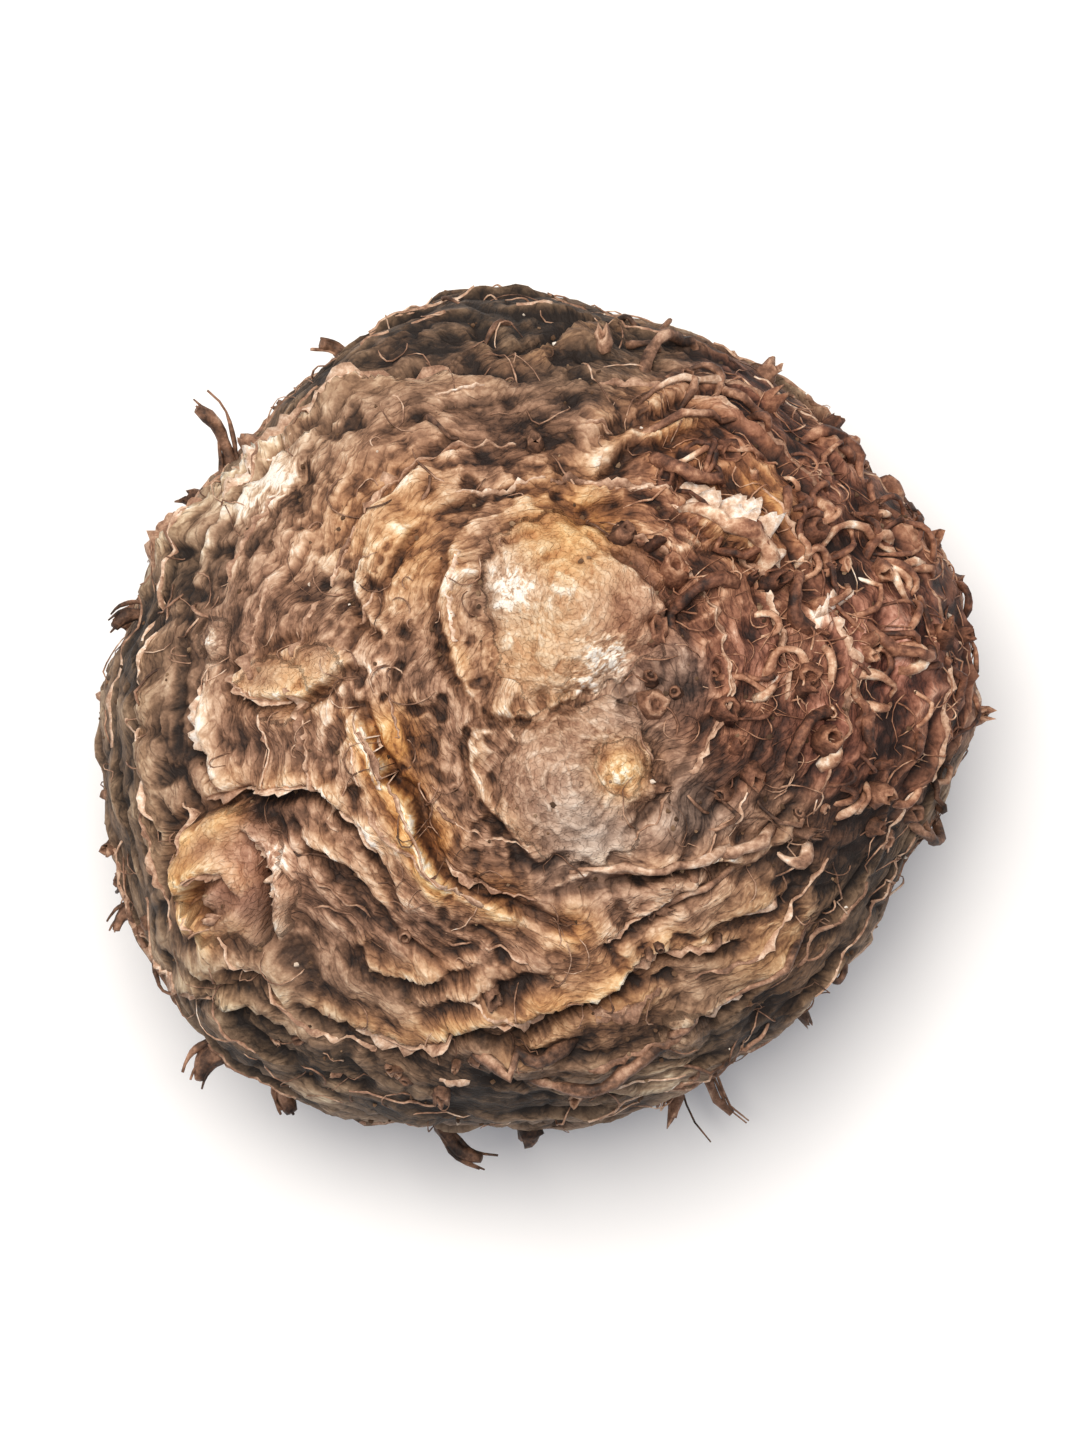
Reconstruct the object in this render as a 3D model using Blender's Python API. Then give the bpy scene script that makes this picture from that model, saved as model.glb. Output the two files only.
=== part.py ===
"""A dormant caladium tuber, lifted, dried and laid on its base with the growing side up.

Units are metres and +Z is up. The tuber rests on z = 0 and its crown of old roots points along +X.
Places on the growing side are plan offsets from the body's centre, as seen from straight above.
"""

import math
import random
from collections import namedtuple

import bmesh
import bpy
from mathutils import Vector, noise

# The bare body: radius of its outline every 22.5 degrees from +X, counter-clockwise
OUTLINE = (
    (0.0240, 0.0226, 0.0212, 0.0207, 0.0202, 0.0186, 0.0177, 0.0184)
    + (0.0195, 0.0203, 0.0211, 0.0215, 0.0215, 0.0216, 0.0219, 0.0224)
)
HALF_HEIGHT = 0.0150
FULLNESS = 2.15  # exponent of the section, where 2 is an ellipse
SEAT_CUT = 0.0005  # what the flat resting spot takes off the rounded base
CENTRE = Vector((-0.0026, 0.0011, HALF_HEIGHT - SEAT_CUT))
MEAN_RADIUS = 0.0205

# Broad swellings (+) and hollows (-): azimuth, elevation, reach, angular width
Lobe = namedtuple("Lobe", "azimuth elevation reach width")
CROWN = Lobe(15, 26, 0.0011, 0.42)
LOBES = (
    CROWN,
    Lobe(-133, 6, 0.0007, 0.40),
    Lobe(112, 30, 0.0006, 0.40),
    Lobe(-52, -42, 0.0009, 0.55),
    Lobe(100, -48, -0.0010, 0.50),
    Lobe(-150, -40, -0.0006, 0.45),
)
LUMPS = ((0.00060, 0.0090), (0.00036, 0.0042))  # height and spacing of the skin's lumps

# Buds, eyes and beads, the uppermost first: direction, radius and height of each dome
Eye = namedtuple("Eye", "direction radius height")
MOAT = 0.42  # depth of the furrow round a dome, as a share of the dome's height

# Leaf scars: rings round the buds, each a crest with a furrow on its inner side
RING_CENTRE = (0.0030, 0.0006)
SCAR_STRENGTHS = (0.7, 0.9, 0.7, 1.0, 1.5, 0.7, 1.0, 0.6, 0.8, 0.5, 0.5)
SCAR_FIRST = 0.50
SCAR_PITCH = 0.145
SCAR_CREST = 0.00055
SCAR_FURROW = 0.00045
SCAR_WANDER = 0.105  # how far a ring strays from a true circle, in radians

# Old roots, broken off short
SEED = 7
ROOT_SUNK = 0.0011
CROWN_STUBS = 34
CROWN_SPREAD = 0.62
CROWN_THICKNESS = (0.00115, 0.00165)
SKIN_STUBS = 30
SKIN_THICKNESS = (0.00085, 0.00125)
STUB_LENGTH = (0.0005, 0.0013)
# Stubs that stand out at the rim as seen from above: azimuth, elevation, length, thickness, lean in plan
RIM_STUBS = (
    (138, 6, 0.0031, 0.00115, -42),
    (113, 2, 0.0014, 0.00125, 10),
    (166, 8, 0.0015, 0.00135, 15),
    (-150, 2, 0.0011, 0.00120, 0),
    (-128, 4, 0.0016, 0.00135, -20),
    (-118, -4, 0.0012, 0.00120, 20),
    (-97, -8, 0.0026, 0.00125, 30),
    (-57, -24, 0.0052, 0.00085, -35),
)
# Old roots dried in a loop over the skin: azimuth, elevation, length, heading and turn in degrees
LOOPED_ROOTS = (
    (-3, 34, 0.0062, 60, 210),
    (9, 20, 0.0058, 150, -190),
    (22, 44, 0.0066, 20, 170),
    (30, 16, 0.0060, -70, 200),
    (44, 32, 0.0064, 100, -160),
    (-14, 12, 0.0056, -150, 150),
    (12, 36, 0.0054, 80, -220),
    (58, 14, 0.0060, 10, 120),
    (-60, 24, 0.0090, 172, 22),
    (-96, 30, 0.0074, 12, -30),
)
LOOP_THICKNESS = 0.00085
LOOP_LIFT = 0.00095

# Mesh density of the body
SEGMENTS = 76
BUD_ROWS = (0.045, 0.09, 0.135, 0.18, 0.225, 0.27, 0.315, 0.36, 0.405, 0.445)
SCAR_ROWS = (-0.14, 0.0, 0.42)  # rows of each scar, in pitches from its crest
BASE_ROW_STEP = 0.13
ROOT_SIDES_LEVEL = 1  # bevel resolution: six sides

GOLDEN_ANGLE = math.pi * (3 - math.sqrt(5))
BARK = (0.215, 0.135, 0.088, 1.0)


def bearing(azimuth, elevation):
    """The unit direction at an azimuth from +X and an elevation above the horizon, in degrees."""
    flat = math.cos(math.radians(elevation))
    turn = math.radians(azimuth)
    return Vector((flat * math.cos(turn), flat * math.sin(turn), math.sin(math.radians(elevation))))


def outline_radius(turn):
    """Radius of the bare body's outline at an azimuth in radians, on a smooth curve through OUTLINE."""
    place = turn / math.tau * len(OUTLINE)
    first = math.floor(place)
    before, start, end, after = (OUTLINE[(first + step) % len(OUTLINE)] for step in (-1, 0, 1, 2))
    share = place - first
    bend = (2 * before - 5 * start + 4 * end - after) + share * (3 * start - before - 3 * end + after)
    return start + 0.5 * share * (end - before + share * bend)


def over_plan(x, y):
    """The direction of the point of the body's upper side that lies over a plan offset."""
    out = math.hypot(x, y) / outline_radius(math.atan2(y, x))
    return Vector((x, y, HALF_HEIGHT * (1 - out**FULLNESS) ** (1 / FULLNESS))).normalized()


EYES = (
    Eye(over_plan(0.0038, 0.0046), 0.0053, 0.0015),
    Eye(over_plan(0.0064, -0.0032), 0.0017, 0.0011),
    Eye(over_plan(0.0029, -0.0046), 0.0044, 0.0008),
    Eye(over_plan(-0.0122, -0.0084), 0.0034, 0.0016),
    Eye(over_plan(-0.0103, 0.0006), 0.0019, 0.0009),
    Eye(over_plan(-0.0082, 0.0016), 0.0015, 0.0007),
    Eye(over_plan(-0.0134, 0.0031), 0.0012, 0.0007),
    Eye(over_plan(0.0100, 0.0083), 0.0015, 0.0009),
    Eye(over_plan(0.0095, -0.0160), 0.0014, 0.0008),
    Eye(bearing(-75, -22), 0.0026, 0.0011),
    Eye(bearing(175, -30), 0.0022, 0.0009),
    Eye(bearing(70, -30), 0.0024, 0.0010),
)
RING_TURN = Vector((0, 0, 1)).rotation_difference(over_plan(*RING_CENTRE))


def swell(direction, lobe):
    """Height that a lobe adds in a direction."""
    away = direction.angle(bearing(lobe.azimuth, lobe.elevation)) / lobe.width
    return lobe.reach * math.exp(-away * away)


def lump(direction, height, spacing):
    """Height of the skin's irregular lumps."""
    return height * noise.noise(direction * (MEAN_RADIUS / spacing) + Vector((3.1, -1.7, 5.3)))


def scar_profile(pitches):
    """Height of one leaf scar, by how many pitches outward of its crest."""
    if pitches >= 0:
        return SCAR_CREST * math.exp(-pitches / 0.3)
    furrow = SCAR_FURROW * math.exp(-(((pitches + 0.14) / 0.07) ** 2))
    return SCAR_CREST * math.exp(-((pitches / 0.06) ** 2)) - furrow


def scar_relief(angle, turn):
    """Height of the leaf scars at an angle from their centre and a turn round it."""
    height = 0.0
    for ring, strength in enumerate(SCAR_STRENGTHS):
        pitches = (angle - SCAR_FIRST) / SCAR_PITCH - ring
        if -0.4 < pitches < 1.2:
            place = Vector((2.0 * math.cos(turn), 2.0 * math.sin(turn), 7.7 * ring))
            kept = min(max(0.72 + 1.5 * noise.noise(place), 0.1), 1.2)
            height += strength * kept * scar_profile(pitches)
    return height


def relief(direction, angle, turn):
    """Height of the buds and of the leaf scars that they leave uncovered."""
    height, uncovered = 0.0, 1.0
    for eye in EYES:
        share = direction.angle(eye.direction) * MEAN_RADIUS / eye.radius
        if share < 2:
            dome = max(0.0, 1 - share**2.4)
            height += uncovered * eye.height * (dome - MOAT * math.exp(-(((share - 1.13) / 0.16) ** 2)))
            uncovered *= min(max((share - 0.75) / 0.3, 0.0), 1.0)
    return height + uncovered * scar_relief(angle, turn)


def skin_point(angle, turn):
    """The point of the skin at an angle from the scars' centre and a turn round it, and its normal."""
    drift = noise.noise(Vector((1.7 * math.cos(turn), 1.7 * math.sin(turn), 1.5 * angle)))
    strayed = angle + SCAR_WANDER * drift * math.sin(angle)
    flat = math.sin(strayed)
    direction = RING_TURN @ Vector((flat * math.cos(turn), flat * math.sin(turn), math.cos(strayed)))

    out = math.hypot(direction.x, direction.y)
    radius = outline_radius(math.atan2(direction.y, direction.x))
    sideways, upwards = (out / radius) ** FULLNESS, abs(direction.z / HALF_HEIGHT) ** FULLNESS
    reach = (sideways + upwards) ** (-1 / FULLNESS)
    across = sideways / max(out, 1e-9) ** 2
    normal = Vector((direction.x * across, direction.y * across, upwards / (direction.z or 1e-9))).normalized()

    raised = sum(swell(direction, lobe) for lobe in LOBES)
    raised += sum(lump(direction, *size) for size in LUMPS)
    seat = min(max((direction.z + 0.97) / 0.12, 0.0), 1.0)
    point = CENTRE + direction * (reach + seat * raised) + normal * seat * relief(direction, angle, turn)
    point.z = max(point.z, 0.0)
    return point, normal


def skin_in(direction):
    """The point of the skin in a direction from the body's centre, and its normal."""
    local = RING_TURN.inverted() @ direction
    return skin_point(local.angle(Vector((0, 0, 1))), math.atan2(local.y, local.x))


def body_rows():
    """The angles from the scars' centre of the body's rows of points, close together at each scar."""
    rows = [0.0, *BUD_ROWS]
    for ring in range(len(SCAR_STRENGTHS)):
        rows += [SCAR_FIRST + SCAR_PITCH * (ring + part) for part in SCAR_ROWS]
    below = math.pi - rows[-1]
    steps = round(below / BASE_ROW_STEP)
    return rows + [rows[-1] + below * step / steps for step in range(1, steps + 1)]


def bark():
    """Dry brown cork, dull all over."""
    material = bpy.data.materials.new("bark")
    material.use_nodes = True
    shader = material.node_tree.nodes["Principled BSDF"]
    shader.inputs["Base Color"].default_value = BARK
    shader.inputs["Roughness"].default_value = 0.9
    shader.inputs["Metallic"].default_value = 0.0
    return material


def tuber_body(collection):
    """The body with its buds and leaf scars, from one sphere with its pole at the scars' centre."""
    rows = body_rows()
    shell = bmesh.new()
    bmesh.ops.create_uvsphere(shell, u_segments=SEGMENTS, v_segments=len(rows) - 1, radius=1)
    for vert in shell.verts:
        row = round(math.acos(max(-1.0, min(1.0, vert.co.z))) / math.pi * (len(rows) - 1))
        vert.co = skin_point(rows[row], math.atan2(vert.co.y, vert.co.x))[0]
    mesh = bpy.data.meshes.new("tuber")
    shell.to_mesh(mesh)
    shell.free()
    mesh.shade_smooth()
    body = bpy.data.objects.new("tuber", mesh)
    collection.objects.link(body)
    return body


def stub_path(direction, length, lean, tilt):
    """The two ends of a root broken off short, leaning over by a tilt to one side."""
    foot, normal = skin_in(direction)
    side = normal.orthogonal().normalized()
    aside = side * math.cos(lean) + normal.cross(side) * math.sin(lean)
    heading = (normal + aside * tilt).normalized()
    return [foot - heading * ROOT_SUNK, foot + heading * length]


def rim_path(azimuth, elevation, length, lean):
    """A stub that stands out from the rim, turned away from square to it by a lean in plan."""
    foot, normal = skin_in(bearing(azimuth, elevation))
    heading = bearing(math.degrees(math.atan2(normal.y, normal.x)) + lean, elevation)
    bent = (heading + 0.5 * Vector((-heading.y, heading.x, 0.4))).normalized()
    middle = foot + heading * length * 0.55
    return [foot - normal * ROOT_SUNK, foot, middle, middle + bent * length * 0.45]


def loop_path(azimuth, elevation, length, heading, turn):
    """Points along a root that rises from the skin, turns as it runs over it, and meets it again."""
    direction = bearing(azimuth, elevation)
    joints = 8
    points = []
    for joint in range(joints + 1):
        foot, normal = skin_in(direction)
        height = (LOOP_LIFT + ROOT_SUNK) * math.sin(math.pi * joint / joints) - ROOT_SUNK
        points.append(foot + normal * height)
        east = Vector((-direction.y, direction.x, 0)).normalized()
        way = math.radians(heading + turn * joint / joints)
        step = east * math.cos(way) + direction.cross(east) * math.sin(way)
        direction = (direction + step * (length / joints / MEAN_RADIUS)).normalized()
    return points


def root(name, points, thickness, tip, collection):
    """A root as a closed tube through its points, tapering to a share of its thickness at the tip."""
    curve = bpy.data.curves.new(name, "CURVE")
    curve.dimensions = "3D"
    curve.bevel_depth = thickness / 2
    curve.bevel_resolution = ROOT_SIDES_LEVEL
    curve.use_fill_caps = True
    spline = curve.splines.new("POLY")
    spline.points.add(len(points) - 1)
    for index, (slot, point) in enumerate(zip(spline.points, points)):
        slot.co = (*point, 1)
        slot.radius = 1 + (tip - 1) * index / (len(points) - 1)
    guide = bpy.data.objects.new(name, curve)
    collection.objects.link(guide)
    bpy.context.view_layer.update()
    graph = bpy.context.evaluated_depsgraph_get()
    mesh = bpy.data.meshes.new_from_object(guide.evaluated_get(graph))
    bpy.data.objects.remove(guide)
    shell = bmesh.new()
    shell.from_mesh(mesh)
    bmesh.ops.remove_doubles(shell, verts=shell.verts, dist=1e-6)
    bmesh.ops.recalc_face_normals(shell, faces=shell.faces)
    shell.to_mesh(mesh)
    shell.free()
    tube = bpy.data.objects.new(name, mesh)
    collection.objects.link(tube)


def crown_directions():
    """Where the crown's roots broke off, evenly packed round its middle."""
    facing = Vector((0, 0, 1)).rotation_difference(bearing(CROWN.azimuth + 5, CROWN.elevation + 2))
    for index in range(CROWN_STUBS):
        away = CROWN_SPREAD * math.sqrt((index + 0.5) / CROWN_STUBS)
        turn = index * GOLDEN_ANGLE
        flat = math.sin(away)
        yield facing @ Vector((flat * math.cos(turn), flat * math.sin(turn), math.cos(away)))


def skin_directions():
    """Where single roots broke off, scattered over the skin clear of the buds, the crown and the base."""
    crown = bearing(CROWN.azimuth, CROWN.elevation)
    placed = index = 0
    while placed < SKIN_STUBS:
        height = 1 - 2 * (index * 0.7548 % 1)
        direction = bearing(math.degrees(index * GOLDEN_ANGLE), math.degrees(math.asin(height)))
        index += 1
        clear = all(direction.angle(eye.direction) * MEAN_RADIUS > 1.3 * eye.radius for eye in EYES)
        if clear and -0.75 < height < 0.94 and direction.angle(crown) > CROWN_SPREAD + 0.05:
            placed += 1
            yield direction


def old_roots(collection):
    """All the broken stubs and the few roots dried in loops."""
    draw = random.Random(SEED)
    stubs = [(direction, CROWN_THICKNESS) for direction in crown_directions()]
    stubs += [(direction, SKIN_THICKNESS) for direction in skin_directions()]
    for number, (direction, thickness) in enumerate(stubs):
        path = stub_path(direction, draw.uniform(*STUB_LENGTH), draw.uniform(0, math.tau), draw.uniform(0, 0.9))
        root(f"stub_{number}", path, draw.uniform(*thickness), 0.78, collection)
    for number, (azimuth, elevation, length, thickness, lean) in enumerate(RIM_STUBS):
        root(f"rim_stub_{number}", rim_path(azimuth, elevation, length, lean), thickness, 0.72, collection)
    for number, place in enumerate(LOOPED_ROOTS):
        root(f"loop_{number}", loop_path(*place), LOOP_THICKNESS, 0.85, collection)


def grow_together(body, roots):
    """Joins the roots to the body they grew from as one solid."""
    union = body.modifiers.new("grown_together", "BOOLEAN")
    union.operation = "UNION"
    union.operand_type = "COLLECTION"
    union.collection = roots
    union.solver = "EXACT"
    bpy.context.view_layer.update()
    graph = bpy.context.evaluated_depsgraph_get()
    joined = bpy.data.meshes.new_from_object(body.evaluated_get(graph))
    body.modifiers.clear()
    body.data = joined
    for piece in list(roots.objects):
        bpy.data.objects.remove(piece)
    bpy.data.collections.remove(roots)


def build():
    for piece in list(bpy.data.objects):
        bpy.data.objects.remove(piece)
    scene = bpy.context.scene.collection
    parts = bpy.data.collections.new("caladium_tuber")
    roots = bpy.data.collections.new("old_roots")
    scene.children.link(parts)
    scene.children.link(roots)
    body = tuber_body(parts)
    old_roots(roots)
    grow_together(body, roots)
    body.data.materials.clear()
    body.data.materials.append(bark())


build()
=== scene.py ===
import math
import random

import bmesh
import bpy
import numpy as np
from mathutils import Matrix, Vector, noise
from mathutils.bvhtree import BVHTree


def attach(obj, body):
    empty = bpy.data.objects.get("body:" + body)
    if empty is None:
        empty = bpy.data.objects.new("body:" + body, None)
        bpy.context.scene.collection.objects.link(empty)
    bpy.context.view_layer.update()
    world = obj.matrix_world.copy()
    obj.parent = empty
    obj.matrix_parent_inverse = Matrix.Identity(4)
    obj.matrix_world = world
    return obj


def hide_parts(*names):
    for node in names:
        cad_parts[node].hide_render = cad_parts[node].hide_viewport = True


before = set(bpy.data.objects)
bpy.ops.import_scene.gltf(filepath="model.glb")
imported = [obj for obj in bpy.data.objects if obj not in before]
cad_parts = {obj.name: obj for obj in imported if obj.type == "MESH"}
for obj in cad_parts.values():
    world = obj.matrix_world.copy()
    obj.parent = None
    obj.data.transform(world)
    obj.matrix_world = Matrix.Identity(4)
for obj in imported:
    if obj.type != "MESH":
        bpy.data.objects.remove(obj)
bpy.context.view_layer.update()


# THE SKIN. Dry brown cork over the whole tuber, grown in one with it. Leaves that tore away left
# rings of scars and ledges round two joined buds, with furrows where dark soil stays. The body's
# form is one height formula on a sphere whose pole lies in the middle of the rings.
MM = 0.001
OUTLINE = (
    (0.0240, 0.0226, 0.0212, 0.0207, 0.0202, 0.0186, 0.0177, 0.0184)
    + (0.0195, 0.0203, 0.0211, 0.0215, 0.0215, 0.0216, 0.0219, 0.0224)
)
HALF_HEIGHT = 0.0150
FULLNESS = 2.15
SEAT_CUT = 0.0005
CENTRE = Vector((-0.0026, 0.0011, HALF_HEIGHT - SEAT_CUT))
MEAN_RADIUS = 0.0205

CROWN = (15, 26, 0.0011, 0.42)
LOBES = (
    CROWN,
    (-133, 6, 0.0007, 0.40),
    (112, 30, 0.0006, 0.40),
    (-52, -42, 0.0009, 0.55),
    (100, -48, -0.0010, 0.50),
    (-150, -40, -0.0006, 0.45),
)
LUMPS = ((0.00060, 0.0090), (0.00036, 0.0042))
MOAT = 0.34
RING_CENTRE = (0.0030, 0.0006)
SCAR_STRENGTHS = (0.7, 0.9, 0.7, 1.0, 1.5, 0.7, 1.0, 0.6, 0.8, 0.5, 0.5)
SCAR_FIRST = 0.50
SCAR_PITCH = 0.145
SCAR_CREST = 0.00055
SCAR_FURROW = 0.00045
SCAR_WANDER = 0.105


def bearing(azimuth, elevation):
    """The unit direction at an azimuth from +X and an elevation above the horizon, in degrees."""
    flat = math.cos(math.radians(elevation))
    turn = math.radians(azimuth)
    return Vector((flat * math.cos(turn), flat * math.sin(turn), math.sin(math.radians(elevation))))


def polar(angle, turn):
    """The unit direction at an angle from +Z and a turn round it, in radians."""
    flat = math.sin(angle)
    return Vector((flat * math.cos(turn), flat * math.sin(turn), math.cos(angle)))


def curved(before, start, end, after, share):
    """A value between start and end, on the smooth curve that also passes before and after."""
    bend = (2 * before - 5 * start + 4 * end - after) + share * (3 * start - before - 3 * end + after)
    return start + 0.5 * share * (end - before + share * bend)


def outline_radius(turn):
    """Radius of the bare body's outline at an azimuth in radians."""
    place = turn / math.tau * len(OUTLINE)
    first = math.floor(place)
    return curved(*(OUTLINE[(first + step) % len(OUTLINE)] for step in (-1, 0, 1, 2)), place - first)


def over_plan(x, y):
    """The direction of the point of the body's upper side that lies over a plan offset."""
    away, radius = math.hypot(x, y), outline_radius(math.atan2(y, x))
    out = min(away / radius, 0.99)
    flat = radius * out / max(away, 1e-9)
    return Vector((x * flat, y * flat, HALF_HEIGHT * (1 - out**FULLNESS) ** (1 / FULLNESS))).normalized()


# Buds, eyes and beads, the uppermost first: direction, radius, height, depth of its rings, their swirl
EYES = (
    (over_plan(0.0038, 0.0046), 0.0053, 0.0014, 0.00010, 0.3),
    (over_plan(0.0064, -0.0032), 0.0017, 0.0008, 0.00010, 0.0),
    (over_plan(0.0043, -0.0039), 0.0046, 0.0008, 0.00026, 0.2),
    (over_plan(-0.0122, -0.0084), 0.0034, 0.0010, 0.00012, 1.0),
    (over_plan(-0.0103, 0.0006), 0.0019, 0.0005, 0.00012, 0.0),
    (over_plan(-0.0082, 0.0016), 0.0015, 0.0004, 0.00012, 0.0),
    (over_plan(-0.0134, 0.0031), 0.0012, 0.0003, 0.00010, 0.0),
    (over_plan(0.0100, 0.0083), 0.0015, 0.0006, 0.00010, 0.0),
    (over_plan(0.0095, -0.0160), 0.0014, 0.0005, 0.00010, 0.0),
    (bearing(-75, -22), 0.0026, 0.0011, 0.00030, 0.6),
    (bearing(175, -30), 0.0022, 0.0009, 0.00026, 0.4),
    (bearing(70, -30), 0.0024, 0.0010, 0.00026, 0.8),
)
EYE_UNEVEN = 0.22
RIM_UNEVEN = 0.20
RING_TURN = Vector((0, 0, 1)).rotation_difference(over_plan(*RING_CENTRE))


def scar_profile(pitches):
    """Height of one leaf scar, by how many pitches outward of its crest."""
    if pitches >= 0:
        return SCAR_CREST * math.exp(-pitches / 0.3)
    furrow = SCAR_FURROW * math.exp(-(((pitches + 0.14) / 0.07) ** 2))
    return SCAR_CREST * math.exp(-((pitches / 0.06) ** 2)) - furrow


def scar_relief(angle, turn):
    """Height of the leaf scars at an angle from their centre and a turn round it."""
    height = 0.0
    for ring, strength in enumerate(SCAR_STRENGTHS):
        pitches = (angle - SCAR_FIRST) / SCAR_PITCH - ring
        if -0.4 < pitches < 1.2:
            place = Vector((2.0 * math.cos(turn), 2.0 * math.sin(turn), 7.7 * ring))
            kept = min(max(0.72 + 1.5 * noise.noise(place), 0.1), 1.2)
            broken = min(max(0.55 + 2.2 * noise.noise(place * 3.1), 0.0), 1.0)
            height += strength * kept * broken * scar_profile(pitches)
    return height


def eye_share(direction, number):
    """How many radii a direction is from the middle of an eye, whose rim is uneven."""
    axis, radius = EYES[number][:2]
    wave = EYE_UNEVEN * noise.noise(direction * (0.9 * MEAN_RADIUS / radius) + Vector((number, 3.0, 7.0)))
    ripple = RIM_UNEVEN * noise.noise(direction * 17.0 + Vector((number, 5.0, 1.0)))
    return direction.angle(axis) * MEAN_RADIUS / radius * (1 + wave + ripple)


def relief(direction, angle, turn):
    """Height of the buds and of the leaf scars that they leave uncovered."""
    height, uncovered = 0.0, 1.0
    for number, (axis, radius, rise, _, _) in enumerate(EYES):
        if direction.angle(axis) * MEAN_RADIUS < 2.2 * radius:
            share = eye_share(direction, number)
            dome = max(0.0, 1 - share**2.4)
            moat = MOAT * max(0.0, 0.6 + 1.6 * noise.noise(direction * 6.0 + Vector((number, 1.0, 2.0))))
            height += uncovered * rise * (dome - moat * math.exp(-(((share - 1.13) / 0.16) ** 2)))
            uncovered *= min(max((share - 0.75) / 0.3, 0.0), 1.0)
    return height + uncovered * scar_relief(angle, turn)


def ring_way(angle, turn):
    """The direction at an angle from the rings' centre and a turn round it, straying as the rings do."""
    drift = noise.noise(Vector((1.7 * math.cos(turn), 1.7 * math.sin(turn), 1.5 * angle)))
    return RING_TURN @ polar(angle + SCAR_WANDER * drift * math.sin(angle), turn)


def body_point(angle, turn):
    """The body's point on a way from the rings' centre, with what the skin grows from there."""
    direction = ring_way(angle, turn)
    out = math.hypot(direction.x, direction.y)
    radius = outline_radius(math.atan2(direction.y, direction.x))
    sideways, upwards = (out / radius) ** FULLNESS, abs(direction.z / HALF_HEIGHT) ** FULLNESS
    reach = (sideways + upwards) ** (-1 / FULLNESS)
    across = sideways / max(out, 1e-9) ** 2
    normal = Vector((direction.x * across, direction.y * across, upwards / (direction.z or 1e-9)))

    raised = 0.0
    for azimuth, elevation, height, width in LOBES:
        away = direction.angle(bearing(azimuth, elevation)) / width
        raised += height * math.exp(-away * away)
    for height, spacing in LUMPS:
        raised += height * noise.noise(direction * (MEAN_RADIUS / spacing) + Vector((3.1, -1.7, 5.3)))
    seat = min(max((direction.z + 0.97) / 0.12, 0.0), 1.0)
    point = CENTRE + direction * (reach + seat * raised)
    return point, normal.normalized(), direction, seat, relief(direction, angle, turn)


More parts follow.
